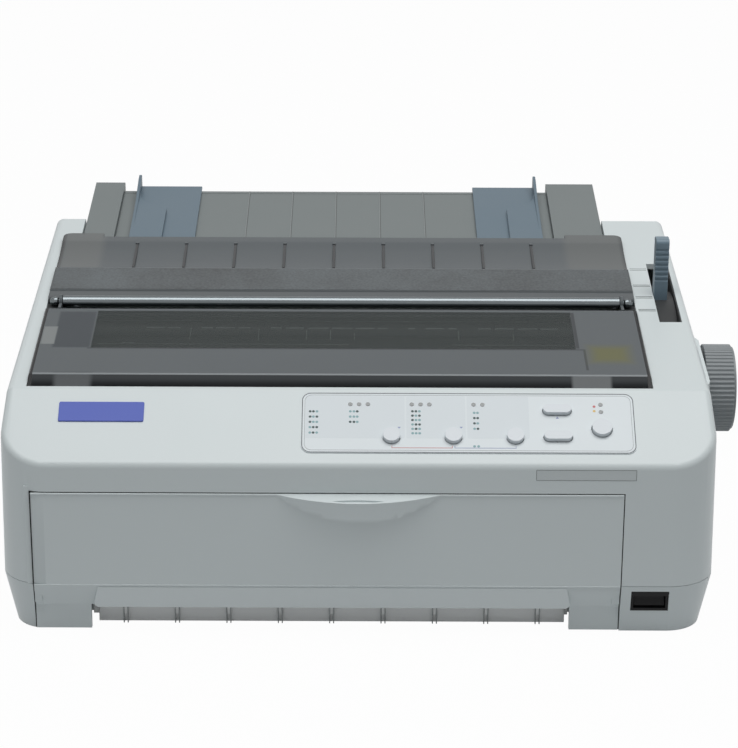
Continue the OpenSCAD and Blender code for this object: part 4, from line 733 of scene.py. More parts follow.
def rounded(low, high, corner, base, top, line=0.0, arcs=6):
    """A plate with round corners, or a thin frame of a line's width where one is given."""
    middle = (Vector(low) + Vector(high)) / 2 * MM
    bpy.ops.mesh.primitive_plane_add(size=1, location=(middle.x, middle.y, base * MM))
    piece = bpy.context.object
    piece.scale = ((high[0] - low[0]) * MM, (high[1] - low[1]) * MM, 1)
    only(piece)
    bpy.ops.object.transform_apply(location=True, rotation=True, scale=True)
    pick(piece, "VERT", everywhere)
    bpy.ops.mesh.bevel(offset=corner * MM, segments=arcs, affect="VERTICES")
    bpy.ops.mesh.select_mode(type="FACE")
    bpy.ops.mesh.select_all(action="SELECT")
    if line:
        bpy.ops.mesh.inset(thickness=line * MM)
        bpy.ops.mesh.delete(type="FACE")
        bpy.ops.mesh.select_all(action="SELECT")
    pull(0, 0, top - base)
    done(outward=True)
    return piece


print("ready to draw:", outline.__name__, rounded.__name__)


# %% Helpers that copy, join and lay
def repeat(seed, places):
    """Copies a small piece to each place, in millimetres, and joins the copies."""
    copies = []
    for place in places:
        twin = bpy.data.objects.new(seed.name, seed.data.copy())
        bpy.context.scene.collection.objects.link(twin)
        twin.location = Vector(place) * MM
        copies.append(twin)
    bpy.data.objects.remove(seed)
    return weld(copies)


def weld(pieces):
    """Joins pieces into one, with its place in its mesh."""
    only(*pieces)
    if len(pieces) > 1:
        bpy.ops.object.join()
    bpy.ops.object.transform_apply(location=True, rotation=True, scale=True)
    return bpy.context.object


def lay(piece, plane):
    """Lays a finished drawing on its plane, and applies its place."""
    bpy.context.view_layer.update()
    piece.matrix_world = plane @ piece.matrix_world
    only(piece)
    bpy.ops.object.transform_apply(location=True, rotation=True, scale=True)
    return piece


print("ready to put together:", repeat.__name__, weld.__name__, lay.__name__)

# %% [markdown]
# ## The case, the guide and the buttons
# These parts have their full shape in CAD, so they are carried over with softened edges. A few copies
# are corrected: the case's legs reach a little lower, the paper lever stands a little higher and
# further left, and the feed knob is narrower. The buttons' hidden stems are made shorter, so that a
# pressed button stays clear of the board below.

# %% Carry the case over
LEG_START, LEG_DROP = 3.9, 2.0
carry("upper_case", "upper_shell", pale_case, "pale_case", 0.4)
lower_shell = carry("lower_case", "lower_shell", pale_case, "grey_case", 0.3)
shift(lower_shell, lambda co, n: co.z < LEG_START, (0, 0, -LEG_DROP))
carry("front_cover", "front_door", pale_case, "grey_case", 0.5)
carry("lower_paper_strip", "paper_strip", strip_lit_pale, "grey_case", 0.3)
carry("paper_guide", "sheet_guide", guide_grey, "guide_grey", 0.4)
print("case faces", len(lower_shell.data.polygons))

# %% Carry the lever and the knob over
LEVER_MOVE = (-1.0, 0, 1.2)
KNOB_NARROW, KNOB_SEAT = 0.876, 186.3
feed_lever = carry("release_lever", "feed_lever", lever_blue, "lever_blue", 0.4)
shift(feed_lever, everywhere, LEVER_MOVE)
feed_knob = carry("paper_feed_knob", "feed_knob", knob_grey, "knob_grey", 0.3)
stretch(feed_knob, everywhere, KNOB_NARROW, CASE_MIDDLE / MM + KNOB_SEAT)
print("knob reaches", round(max(point.co.x for point in feed_knob.data.vertices), 4))

# %% Carry the panel and the tension unit over
panel = carry("control_panel", "panel_board_sheet", panel_sheet, "panel_white", 0.15)
carry("tension_unit", "tension_tray", unit_grey, "dark_plastic", 0.4)
print("panel faces", len(panel.data.polygons))

# %% Carry the buttons over
STEM_CUT = 0.3
for node, name in [("font_button", "button_one"), ("pitch_button", "button_two"),
                   ("tear_off_button", "button_three"), ("pause_button", "button_pause"),
                   ("load_eject_button", "button_load"), ("line_feed_button", "button_line")]:
    button = carry(node, name, button_white, "button_white", 0.7, 4)
    foot = min((SLOPE.inverted() @ point.co).z for point in button.data.vertices)
    shift(button, lambda co, n: (SLOPE.inverted() @ (co * MM)).z < foot + STEM_CUT * MM,
          SLOPE.to_3x3() @ Vector((0, 0, STEM_CUT)))
    print(name, "faces", len(button.data.polygons))

# %% Carry the small dark parts over
SMALL_PARTS = [("switch_bezel", "switch_frame", black_plastic, "black_plastic", 0.4),
               ("power_rocker", "switch_rocker", black_plastic, "black_plastic", 0.3),
               ("mains_inlet", "inlet_body", black_plastic, "black_plastic", 0.4),
               ("port_connectors", "port_bodies", dark_plastic, "dark_plastic", 0.3),
               ("ribbon_cartridge", "ribbon_case", dark_plastic, "black_plastic", 0.5),
               ("ribbon_knob", "ribbon_winder", lever_blue, "lever_blue", 0.3),
               ("print_head", "dot_head", motor_black, "motor_metal", 0.3)]
for part in SMALL_PARTS:
    carry(*part)
print("small parts", len(SMALL_PARTS))

# %% [markdown]
# ## The works inside
# The print works show only through the window or with a cover open, and the feet, screws and lamps
# are tiny. These CAD parts stay as they are and only get a finish: steel frames and shafts, pale
# gears, black motors, green boards.

# %% Finishes of the CAD parts that stay
FINISHES = [
    (rubber, ["rubber_feet", "platen_roller", "carriage_belt"]),
    (turned_steel, ["case_screws", "front_cover_pins", "platen_shaft", "tractor_shaft", "tractor_rail",
                    "guide_shaft", "carriage_rail", "motor_pulley", "belt_pulley"]),
    (gear_resin, ["platen_gear", "motor_idler", "feed_pinion", "tractor_idler", "tractor_gear"]),
    (sheet_steel, ["left_side_frame", "right_side_frame", "base_frame", "pulley_bracket", "power_supply"]),
    (motor_black, ["feed_motor", "carriage_motor"]),
    (dark_plastic, ["left_tractor", "right_tractor", "carriage"]),
    (board_green, ["panel_board", "main_board"]),
    (lever_blue, ["head_gap_lever"]),
    (lamp_resin, ["indicator_lamps"]),
    (ribbon_cloth, ["ink_ribbon"])]
for material, nodes in FINISHES:
    for node in nodes:
        mesh = frame["nodes"][node].data
        mesh.materials.clear()
        mesh.materials.append(material)
print("painted CAD parts", sum(len(nodes) for material, nodes in FINISHES))

# %% [markdown]
# ## The printed panel
# The control panel is a pale sheet with a thin frame line, three tinted fields, rows of dots that
# show the lamp patterns, and two brackets under the buttons. Print has almost no height, so each
# mark is a drawing a few hundredths of a millimetre thick. The dots are one disc, copied to a table.

# %% Frame lines and tinted fields of the panel
PANEL_TOP = 0.6
PRINT_FOOT = PANEL_TOP - 0.1
PRINT_TOP = PANEL_TOP + 0.06
FIELD_TOP = PANEL_TOP + 0.02
FIELD_FRONT, FIELD_REAR = 12.4, 41.2
FIELDS = ((-29, 25.0), (25.9, 58.1), (59.0, 92.8))


def printed(pieces, name, material, plane=SLOPE):
    """Joins printed marks, lays them on their plane and ties them to the case."""
    return hand_over(lay(weld(pieces), plane), name, "case", material, "panel_white")


printed([rounded((-31.0, 2.75), (150.2, 43.3), 5, PRINT_FOOT, PRINT_TOP, 0.42)], "panel_frame_line", ink_dark)
printed([rounded((-29.5, 4.2), (148.7, 41.9), 4, PRINT_FOOT, PRINT_TOP, 0.2)], "panel_inner_line", ink_grey)
printed([rounded((left, FIELD_FRONT), (right, FIELD_REAR), 1, PRINT_FOOT, FIELD_TOP)
         for left, right in FIELDS], "panel_fields", panel_tint)
print("panel fields", len(FIELDS))

# %% Rows of dots
# A table is the dots' places across, then its rows: how far up, and a dark (D) or teal (T) dot for each.
DOT_RADIUS, LAMP_DOT_RADIUS = 0.78, 0.8
DOT_TABLES = [
    ((-26.5, -24.7, -22.8), ((30.5, "DDT"), (26.9, "DTD"), (23.3, "DTT"), (19.7, "TDD"), (16.0, "TDT"))),
    ((-4.6, -2.6, -0.8), ((30.6, "TTD"), (27.0, "TTT"), (23.4, "DDT"))),
    ((29.3, 31.2, 33.1), ((30.8, "DDT"), (27.8, "DTD"), (24.8, "DTT"), (21.8, "TDD"), (18.8, "TDT"),
                          (15.8, "TTT"))),
    ((63.0, 64.8), ((29.9, "TT"), (26.3, "DD"), (22.7, "DT"), (19.0, "TD"))),
    ((62.7, 64.9), ((7.1, "TT"),))]
for letter, name, material in [("D", "dots_dark", ink_dark_green), ("T", "dots_pale", ink_teal)]:
    places = [(x, up, 0) for across, rows in DOT_TABLES for up, marks in rows
              for x, mark in zip(across, marks) if mark == letter]
    printed([repeat(disc(0, 0, DOT_RADIUS, PRINT_FOOT, PRINT_TOP), places)], name, material)
    print(name, len(places))
for x, up, name, material in [(128.6, 34.5, "dot_red", ink_red), (128.5, 31.4, "dot_yellow", ink_yellow)]:
    printed([disc(x, up, LAMP_DOT_RADIUS, PRINT_FOOT, PRINT_TOP)], name, material)

# %% Brackets and arrow marks
BRACKET_LEVEL, BRACKET_LINE, BRACKET_RISE = 5.8, 0.32, 1.6
ARROW_HALF = 0.9
ARROWS = [(108.2, 26.1, 1.5), (107.8, 18.2, -1.5), (22.0, 20.1, -1.2), (55.7, 20.3, -1.2)]
for left, right, name, material in [(17.8, 50.8, "bracket_red", ink_red),
                                    (51.9, 85.3, "bracket_blue", ink_blue)]:
    bars = [(left, right, BRACKET_LINE), (left, left + BRACKET_LINE, BRACKET_RISE),
            (right - BRACKET_LINE, right, BRACKET_RISE)]
    printed([block((start, BRACKET_LEVEL, PRINT_FOOT), (end, BRACKET_LEVEL + rise, PRINT_TOP))
             for start, end, rise in bars], name, material)
printed([outline([(x - ARROW_HALF, up), (x + ARROW_HALF, up), (x, up + rise)], PRINT_FOOT, PRINT_TOP)
         for x, up, rise in ARROWS], "arrow_marks", ink_blue)
print("arrow marks", len(ARROWS))

# %% [markdown]
# ## Fine lines on the case
# The front has a shallow bare field for a label, shown by its outline, and the flat top beside the
# paper lever has four pairs of moulded lines that mark the lever's places. All are thin drawings again,
# in a dark colour: painted shade for the edges of the moulding.

# %% Label field and lever lines
LABEL_LOW, LABEL_HIGH = Vector((95.8, 92.9)), Vector((150.0, 99.1))
LABEL_RIM = Vector((0.2, 0.2))
printed([rounded(LABEL_LOW, LABEL_HIGH, 0.3, -0.05, 0.08, 0.28, 2)], "label_line", case_line_shade, FRONT)
printed([rounded(LABEL_LOW + LABEL_RIM, LABEL_HIGH - LABEL_RIM, 0.3, -0.05, 0.03, 0, 2)], "label_field",
        label_grey, FRONT)
LEVER_PLACES = (148.8, 166.9, 183.6, 207.5)
LEVER_PAIR, LEVER_LINE_HALF, LEVER_MARK_TOP = 2.0, 0.2, 0.46
up_slope = [(y - BREAK_DEPTH) * COVER_STRETCH for place in LEVER_PLACES for y in (place - LEVER_PAIR, place)]
printed([block((163.4, s - LEVER_LINE_HALF, -0.1), (173.4, s + LEVER_LINE_HALF, LEVER_MARK_TOP))
         for s in up_slope], "lever_lines", case_line_shade, COVERS)
print("lever lines", len(up_slope))

# %% [markdown]
# ## The front cover's fine lines
# The cover's top edge is a narrow rounded bead that catches the light, and the gap round the cover
# reads as a dark line. The bead is a long box with its edges rounded. Behind the gap lies a black
# strip of painted shade, which darkens the gap.

# %% Bead, seam and lower lip of the front cover
DOOR_LEFT, DOOR_RIGHT, DOOR_TOP = -177.7, 143.8, 84.6
SEAM, CREASE, STEP_IN = 30.2, 16.0, 6.0
CUT_LEFT, CUT_RIGHT = -147.2, 116.7
LIP_TUCK, LIP_FLARE, LIP_CORNER = 2.2, 1.022, 3.4
bead = block((DOOR_LEFT + 0.3, -0.55, DOOR_TOP - 1.0), (DOOR_RIGHT - 0.3, 0.6, DOOR_TOP))
soften(bead, 0.45, 3)
seam = block((DOOR_LEFT + 0.1, -0.28, SEAM - 0.5), (DOOR_RIGHT - 0.1, 0.3, SEAM + 0.3))
soften(seam, 0.25)
band = block((CUT_LEFT + 4.5, 0.1, CREASE - 0.3), (CUT_RIGHT - 2.0, 5.4, SEAM - 1.0))
shift(band, lambda co, n: co.z < CREASE and co.y < 1, (0, LIP_TUCK, 0))
stretch(band, lambda co, n: co.z < CREASE, LIP_FLARE)
pick(band, "EDGE", lambda co, way: abs(way.y) > 0.9 and co.z < CREASE)
bpy.ops.mesh.bevel(offset=LIP_CORNER * MM, segments=6)
done()
soften(band, 0.6, 3)
# The lower lip is coloured paler than the case, as painted light from the bright floor below.
for piece, name, finish in [(bead, "door_bead", pale_case), (seam, "door_seam", pale_case),
                            (band, "door_lower_lip", lip_lit_pale)]:
    hand_over(lay(piece, WHOLE), name, "front_cover", finish, "grey_case")
    print(name, "faces", len(piece.data.polygons))

# %% Painted shade: dark strips behind the cover's gap
GAP = 0.6
STRIP_IN, STRIP_BACK, STRIP_FLOOR = 0.5, 2.0, 1.6
SHADE_EDGE = [(STRIP_IN, DOOR_TOP + 0.5), (STRIP_IN, SEAM), (STEP_IN + STRIP_IN, CREASE),
              (STEP_IN + STRIP_IN, STRIP_FLOOR), (STEP_IN + STRIP_BACK, STRIP_FLOOR),
              (STEP_IN + STRIP_BACK, CREASE), (STRIP_BACK, SEAM), (STRIP_BACK, DOOR_TOP + 0.5)]
gap_back = [lay(outline(SHADE_EDGE, left, left + GAP - 0.1), ACROSS)
            for left in (DOOR_LEFT - GAP + 0.05, DOOR_RIGHT + 0.05)]
gap_back.append(block((DOOR_LEFT - GAP, STRIP_IN, DOOR_TOP + 0.05),
                      (DOOR_RIGHT + GAP, STRIP_BACK, DOOR_TOP + 0.55)))
hand_over(lay(weld(gap_back), WHOLE), "door_gap_shade", "case", black_plastic, "black_plastic")
print("gap strips", len(gap_back))

# %% [markdown]
# ## The lower paper slot
# Under the front cover lies a strip that paper slides over. It is coloured much paler than the case,
# as painted light, so that it stays bright in the shade under the cover. Pairs of thin ribs stand on it,
# nine pairs in all, coloured darker than the strip as painted shade. One rib is made and rounded, and
# then copied to every place.

# %% The slot's ends, the strip's foot and its ribs
SLOT_FRONT, SLOT_REAR, SLOT_FLOOR = 17.0, 18.4, 5.5
STRIP_FACE = 15.4
RIB_PAIRS, RIB_HALF_GAP, RIB_END = 9, 1.1, 15
slot_ends = [block((left, SLOT_FRONT, SLOT_FLOOR), (right, SLOT_REAR, CREASE - 1))
             for left, right in ((CUT_LEFT + 0.1, CUT_LEFT + 4.5), (CUT_RIGHT - 3.0, CUT_RIGHT - 0.1))]
hand_over(lay(weld(slot_ends), WHOLE), "slot_ends", "case", strip_lit_pale, "grey_case")
STRIP_LEFT, STRIP_RIGHT = width_of("lower_paper_strip")
strip_foot = block((STRIP_LEFT, STRIP_FACE, 1.6), (STRIP_RIGHT, STRIP_FACE + 1.2, 3.6))
hand_over(lay(strip_foot, WHOLE), "strip_foot", "case", strip_lit_pale, "grey_case")
rib = block((-0.3, STRIP_FACE - 1.9, 1.0), (0.3, STRIP_FACE + 0.2, 14.6))
soften(rib, 0.25)
pitch = (STRIP_RIGHT - STRIP_LEFT - 2 * RIB_END) / (RIB_PAIRS - 1)
places = [((STRIP_LEFT + STRIP_RIGHT) / 2 + (i - (RIB_PAIRS - 1) / 2) * pitch + side, 0, 0)
          for i in range(RIB_PAIRS) for side in (-RIB_HALF_GAP, RIB_HALF_GAP)]
hand_over(lay(repeat(rib, places), WHOLE), "strip_ribs", "case", rib_shade, "grey_case")
print("strip", round(STRIP_LEFT, 1), round(STRIP_RIGHT, 1), "pitch", round(pitch, 2))

# %% [markdown]
# ## The smoked covers
# The lid over the print works is one moulded shell: a clear smoked plate with a steep front lip and a
# bevelled rear edge beside its hinge rod. It starts as a box. The front is cut off along the slope,
# the rear edge is cut back, the bottom is taken away and the walls get their thickness inwards.

# %% The lid over the print works
LID_LEFT, LID_RIGHT = width_of("window_lid")
LID_FRONT, LID_REAR = 0.3, (147.0 - BREAK_DEPTH) * COVER_STRETCH
LID_RISE, LID_SEAT, LID_WALL = 3.6, -1.0, 2.0
LIP_TURN = SLOPE_TURN - COVER_TURN
REAR_CUT, REAR_CUT_NORMAL = 7.5, (0, 0.4, 0.92)
SIDE_ROUND = 1.6
lid = block((LID_LEFT, LID_FRONT, LID_SEAT), (LID_RIGHT, LID_REAR, LID_RISE))
pick(lid, "FACE", everywhere)
bpy.ops.mesh.bisect(plane_co=(0, LID_FRONT * MM, LID_SEAT * MM),
                    plane_no=(0, -math.sin(LIP_TURN), math.cos(LIP_TURN)), use_fill=True, clear_outer=True)
bpy.ops.mesh.select_all(action="SELECT")
bpy.ops.mesh.bisect(plane_co=(0, (LID_REAR - REAR_CUT) * MM, LID_RISE * MM), plane_no=REAR_CUT_NORMAL,
                    use_fill=True, clear_outer=True)
done(outward=True)
pick(lid, "EDGE", lambda co, way: abs(way.y) > 0.5 and co.z > LID_RISE - 0.1 and 15 < co.y < LID_REAR - 12)
bpy.ops.mesh.bevel(offset=SIDE_ROUND * MM, segments=4)
done()
pick(lid, "FACE", lambda co, n: n.z < -0.9)
bpy.ops.mesh.delete(type="FACE")
done()
thicken(lid, LID_WALL)
soften(lid, 0.7, 3, 18)
lay(lid, COVERS)
print("lid faces", len(lid.data.polygons))

# %% Ears that hold the lid to its rod
ROD_Y, ROD_Z, ROD_R = 153.5, 142.9, 3.5
ROD_LEFT, ROD_RIGHT = LID_LEFT + 9.2, LID_RIGHT - 9.2
EAR_WIDTH, EAR_RADIUS = 1.8, 4.2


def round_bar(left, right, radius, sides):
    """A round bar on the rod's line, from one place across the printer to another."""
    bpy.ops.mesh.primitive_cylinder_add(vertices=sides, radius=radius * MM, depth=(right - left) * MM,
                                        rotation=(0, math.pi / 2, 0),
                                        location=((left + right) / 2 * MM, ROD_Y * MM, ROD_Z * MM))
    return weld([bpy.context.object])


ears = []
for x in (ROD_LEFT - 2.0, ROD_RIGHT + 0.2):
    ears.append(round_bar(x, x + EAR_WIDTH, EAR_RADIUS, 32))
    ears.append(block((x, ROD_Y - 12, ROD_Z - 3.4), (x + EAR_WIDTH, ROD_Y - 1, ROD_Z + 0.2)))
ears = [lay(soften(ear, 0.3), WHOLE) for ear in ears]
hand_over(weld([lid] + ears), "smoked_window", "window_lid", smoked_lid, "smoked_plastic", "window_lid")
print("rod from", round(ROD_LEFT, 1), "to", round(ROD_RIGHT, 1))

# %% [markdown]
# ## The rod the lid turns on
# The lid turns on a dark steel rod with a turned neck and a ball at each end. The neck is pulled out
# of the rod's end face after two insets, and the balls are spheres with a small flat boss.

# %% The rod and its balls
NECK_LENGTH, BALL_RADIUS, BALL_AWAY = 2.6, 2.75, 4.5
rod = round_bar(ROD_LEFT, ROD_RIGHT, ROD_R, 48)
pick(rod, "FACE", lambda co, n: abs(n.x) > 0.9)
bpy.ops.mesh.inset(thickness=0.5 * MM)
bpy.ops.mesh.inset(thickness=1.2 * MM)
done()
for side, x in ((-1, ROD_LEFT), (1, ROD_RIGHT)):
    pick(rod, "FACE", lambda co, n: abs(co.x - x) < 0.01 and abs(co.y - ROD_Y) < 0.01 and n.x * side > 0.9)
    pull(side * NECK_LENGTH, 0, 0)
    done()
soften(rod, 0.25, 2, 40)
balls = []
for side, x in ((-1, ROD_LEFT - BALL_AWAY), (1, ROD_RIGHT + BALL_AWAY)):
    bpy.ops.mesh.primitive_uv_sphere_add(segments=28, ring_count=16, radius=BALL_RADIUS * MM,
                                         location=(x * MM, ROD_Y * MM, ROD_Z * MM))
    ball = weld([bpy.context.object])
    pick(ball, "FACE", lambda co, n: (co.x - x) * side > 1.6)
    pull(side * 0.6, 0, 0)
    done()
    balls.append(shade(ball, 60))
hand_over(lay(weld([rod] + balls), WHOLE), "lid_rod", "rear_cover", rod_dark, "rod_metal", "hinge_rod")
print("rod faces", len(rod.data.polygons))

# %% Painted shade at the rod's ends
# Dark sheets under the rod's ends are painted shade: they cover the pale case that would show between the rod
# and the lid.
ROD_SHADE_FRONT, ROD_SHADE_REAR, ROD_SHADE_WIDTH = 94, 122, 9
rod_shade_blocks = [block((left, ROD_SHADE_FRONT, LID_SEAT - 0.35), (left + ROD_SHADE_WIDTH, ROD_SHADE_REAR, LID_SEAT - 0.12))
             for left in (LID_LEFT - 0.2, LID_RIGHT + 0.2 - ROD_SHADE_WIDTH)]
hand_over(lay(weld(rod_shade_blocks), COVERS), "rod_end_shade", "case", slot_shade, "dark_plastic")
print("rod end shades", len(rod_shade_blocks))

# %% [markdown]
# ## The rear cover
# Its top is one sheet whose section can be drawn by pulling an edge from point to point: a smooth
# strip behind the rod, a grained band, a valley where the paper comes out, and a rear strip. The two
# ends reach further back and have round corners. The sheet gets skirts, then its wall thickness.

# %% The rear cover's top sheet
HATCH_SEAT, HATCH_WALL = -1.0, 1.8
HATCH_SECTION = [(-10.4, 1.6), (-9.8, 2.5), (-8.8, 2.9), (-0.5, 2.95), (0.0, 3.55), (31.6, 3.6),
                 (33.2, 3.3), (34.6, 2.3), (36.5, 1.75), (48, 1.7), (60, 2.1), (68, 2.9), (71.5, 3.45),
                 (74, 3.6), (80.0, 3.6)]
VALLEY_END = HATCH_SECTION[-1][0]
TROUGH_LEFT, TROUGH_RIGHT = -158.0, 127.0
HATCH_REAR, HATCH_CORNER = 85.2, 4.8
HATCH_LEFT, HATCH_RIGHT = width_of("rear_cover")
hatch = first_point(Vector((HATCH_LEFT, *HATCH_SECTION[0])))
stations = [HATCH_LEFT, TROUGH_LEFT, TROUGH_RIGHT, HATCH_RIGHT]
for before, after in zip(stations, stations[1:]):
    bpy.ops.mesh.extrude_vertices_move(TRANSFORM_OT_translate={"value": ((after - before) * MM, 0, 0)})
bpy.ops.mesh.select_mode(type="EDGE")
bpy.ops.mesh.select_all(action="SELECT")
for (s0, z0), (s1, z1) in zip(HATCH_SECTION, HATCH_SECTION[1:]):
    pull(0, s1 - s0, z1 - z0)
done()
pick(hatch, "EDGE", lambda co, way: co.y > VALLEY_END - 0.1 and abs(way.x) > 0.9
     and not TROUGH_LEFT < co.x < TROUGH_RIGHT)
pull(0, HATCH_REAR - VALLEY_END, 0)
done()
pick(hatch, "VERT", lambda co, n: co.y > 85 and (co.x < HATCH_LEFT + 1 or co.x > HATCH_RIGHT - 1))
bpy.ops.mesh.bevel(offset=HATCH_CORNER * MM, segments=6, affect="VERTICES")
done()
print("top sheet faces", len(hatch.data.polygons))

# %% Skirts and wall of the rear cover
pick(hatch, "FACE", everywhere)
if sum(face.normal.z for face in hatch.data.polygons) < 0:
    bpy.ops.mesh.flip_normals()
bpy.ops.mesh.select_mode(type="EDGE")
bpy.ops.mesh.region_to_loop()
pull(0, 0, -0.01)
done()
pick(hatch, "VERT", lambda co, n: False)
bpy.ops.mesh.select_mode(type="EDGE")
bpy.ops.mesh.select_non_manifold(extend=False, use_wire=False, use_boundary=True, use_multi_face=False,
                                 use_non_contiguous=False, use_verts=False)
bpy.ops.transform.resize(value=(1, 1, 0), center_override=(0, 0, HATCH_SEAT * MM))
done(outward=True)
thicken(hatch, HATCH_WALL)
soften(hatch, 0.5, 3, 30)
print("hatch faces", len(hatch.data.polygons))

# %% The valley's ribs
# The ribs take the dark colour above: painted shade for the dark lines they show in the valley.
HATCH_RIBS, HATCH_PITCH = 9, 30.2
fin = block((-0.75, 34.2, 0.6), (0.75, 70.6, 3.5))
shift(fin, lambda co, n: co.y < 40 and co.z > 3, (0, 1.2, -0.5))
soften(fin, 0.3)
cap = block((-1.1, 69.2, 3.3), (1.1, 71.6, 3.95))
soften(cap, 0.3)
fins = [((TROUGH_LEFT + TROUGH_RIGHT) / 2 + (i - (HATCH_RIBS - 1) / 2) * HATCH_PITCH, 0, 0)
        for i in range(HATCH_RIBS)]
hand_over(lay(weld([hatch, repeat(cap, fins)]), HATCH), "rear_hatch", "rear_cover", smoked_hatch,
          "smoked_hatch", "rear_cover")
hand_over(lay(repeat(fin, fins), HATCH), "hatch_ribs", "rear_cover", hatch_rib_shade, "smoked_hatch")
print("ribs", HATCH_RIBS)

# %% Grained band of the rear cover
BAND_FRONT, BAND_REAR, BAND_FOOT, BAND_TOP = 0.8, 31.4, 3.4, 3.68
band = block((HATCH_LEFT + 1, BAND_FRONT, BAND_FOOT), (HATCH_RIGHT - 1, BAND_REAR, BAND_TOP))
hand_over(lay(band, HATCH), "hatch_grain", "rear_cover", smoked_grain, "smoked_hatch")
print("grained band", round(BAND_REAR - BAND_FRONT, 1), "mm deep")

# %% [markdown]
# ## What glints through the clear lid
# Under the window lies the paper tension unit, and the eye makes it out by the light on its edges.
# Each glint is a thin pale bar on the unit: short bars in a row, long lines, and bars along the depth.

# %% Glints on the tension unit
UNIT_FRONT, UNIT_BELOW = 123.0, 14
UNIT = tilted(UNIT_FRONT, cover_height(UNIT_FRONT) - UNIT_BELOW, COVER_TURN)
ROW_FRONT, ROW_REAR = 29.0, 30.3
ROW_BARS = [(-125, -114), (-112.5, -105), (-92.5, -86), (-84, -73), (-71, -64), (-52, -45.5), (-43, -32.5),
            (-30, -18), (-16, -4), (-2, 9), (11, 17), (29, 33), (39, 50), (52.5, 57.5), (70, 77.5), (80, 91),
            (93.5, 105), (106.5, 117)]
LONG_LINES = [((-154, 39.3), (123, 39.9)), ((-152, 7.0), (-6, 7.7)), ((54, 7.0), (122, 7.7))]
DEPTH_BARS = [(-99, 30), (-59, 29), (-31, 27), (-17, 27), (-3, 23), (58, 27), (90, 22)]
marks = [block((left, ROW_FRONT, 0), (right, ROW_REAR, 0.4)) for left, right in ROW_BARS]
marks += [block((*low, 0), (*high, 0.3)) for low, high in LONG_LINES]
marks += [block((-138, 6.6, 0), (-130.5, 8.2, 0.8))]
marks += [block((x, 14, 0), (x + 0.5, rear, 0.3)) for x, rear in DEPTH_BARS]
hand_over(lay(weld(marks), UNIT), "tension_glints", "case", glint, "dark_plastic")
print("glints", len(marks))

# %% [markdown]
# ## Sheet stops of the paper guide
# Each stop is a thin plate with a thicker block on it, and a fin along its outer edge. The block's
# outline is drawn point by point, and its outer end curves back to the fin. The right stop is the
# same drawing with its points mirrored.

# %% The two sheet stops
STOP_WIDTH, STOP_FRONT, STOP_REAR = 40.8, -4, 86.7
STOP_LOW, STOP_TOP, BLOCK_TOP, FIN_WIDTH = -2.7, -0.9, 1.6, 1.8
SUNK = STOP_TOP - 0.2
BLOCK_EDGE = [(0, STOP_FRONT), (20.5, STOP_FRONT), (20.5, 43), (19, 45.5), (15, 47), (10, 49.5), (5, 55),
              (2.6, 62), (1.8, 70), (1.8, STOP_REAR), (0, STOP_REAR)]
FIN_EDGE = [(12, SUNK), (STOP_REAR, SUNK), (STOP_REAR, 7), (80, 7), (52, 2.6), (12, 1.7)]
for node, name, way in [("left_edge_guide", "left_sheet_stop", 1),
                        ("right_edge_guide", "right_sheet_stop", -1)]:
    outer = width_of(node)[0 if way > 0 else 1]
    inner = outer + way * STOP_WIDTH
    plate = block((min(outer, inner), STOP_FRONT, STOP_LOW), (max(outer, inner), STOP_REAR, STOP_TOP))
    soften(plate, 0.3)
    raised = outline([(outer + way * x, y) for x, y in BLOCK_EDGE][::way], SUNK, BLOCK_TOP)
    soften(raised, 0.35, 2, 60)
    fin = soften(outline(FIN_EDGE, 0, FIN_WIDTH), 0.35)
    fin = lay(fin, Matrix.Translation((min(outer, outer + way * FIN_WIDTH) * MM, 0, 0)) @ ACROSS)
    hand_over(lay(weld([plate, raised, fin]), GUIDE), name, node, guide_blue, "guide_blue", node)
    print(name, "from", round(outer, 1), "to", round(inner, 1))

# %% [markdown]
# ## The face of the paper guide
# Paper lies on a sheet with five thin ribs and a rim along its rear edge. A rib on so flat a sheet is
# seen by its lit crest and by the thin shade beside it, so each rib gets a pale bar and a dark one.

# %% The guide's sheet, its ribs and its rim
SHEET_LEFT, SHEET_RIGHT, SHEET_REAR = -152.5, 120.9, 83.4
SHEET_FOOT, SHEET_TOP = -3.75, -3.05
RIB_FRONT, RIB_REAR, RIB_HALF, RIB_RISE, SHADE_RISE = 0.7, 83.3, 0.3, 0.27, 0.04
RIM_FRONT, RIM_REAR = 79.7, 80.5
rib_places = [(x, 0, 0) for x in (-71.6, -43.4, -15.3, 12.8, 41.1)]
sheet = block((SHEET_LEFT, 0.6, SHEET_FOOT), (SHEET_RIGHT, SHEET_REAR, SHEET_TOP))
hand_over(lay(sheet, GUIDE), "guide_sheet", "paper_guide", guide_grey, "guide_grey")
rib = block((-RIB_HALF, RIB_FRONT, SHEET_TOP - 0.1), (RIB_HALF, RIB_REAR, SHEET_TOP + RIB_RISE))
soften(rib, 0.12)
rim = block((SHEET_LEFT + 0.1, RIM_FRONT, SHEET_TOP - 0.1),
            (SHEET_RIGHT - 0.1, RIM_REAR, SHEET_TOP + RIB_RISE))
soften(rim, 0.12)
ribs = weld([repeat(rib, rib_places), rim])
hand_over(lay(ribs, GUIDE), "guide_ribs", "paper_guide", guide_rib_pale, "guide_grey")
rib_shadow = block((RIB_HALF, RIB_FRONT, SHEET_TOP - 0.1), (0.75, RIB_REAR, SHEET_TOP + SHADE_RISE))
hand_over(lay(repeat(rib_shadow, rib_places), GUIDE), "guide_rib_shades", "paper_guide", guide_rib_dark,
          "guide_grey")
print("guide ribs", len(rib_places))

# %% [markdown]
# ## The shield of the paper lever
# A curved dark strip under the lever closes its slot. Seen from the side it is part of a ring about
# the lever's axle, so it passes under the slot at every place of the lever. It is drawn point by point
# and pulled to the slot's width.

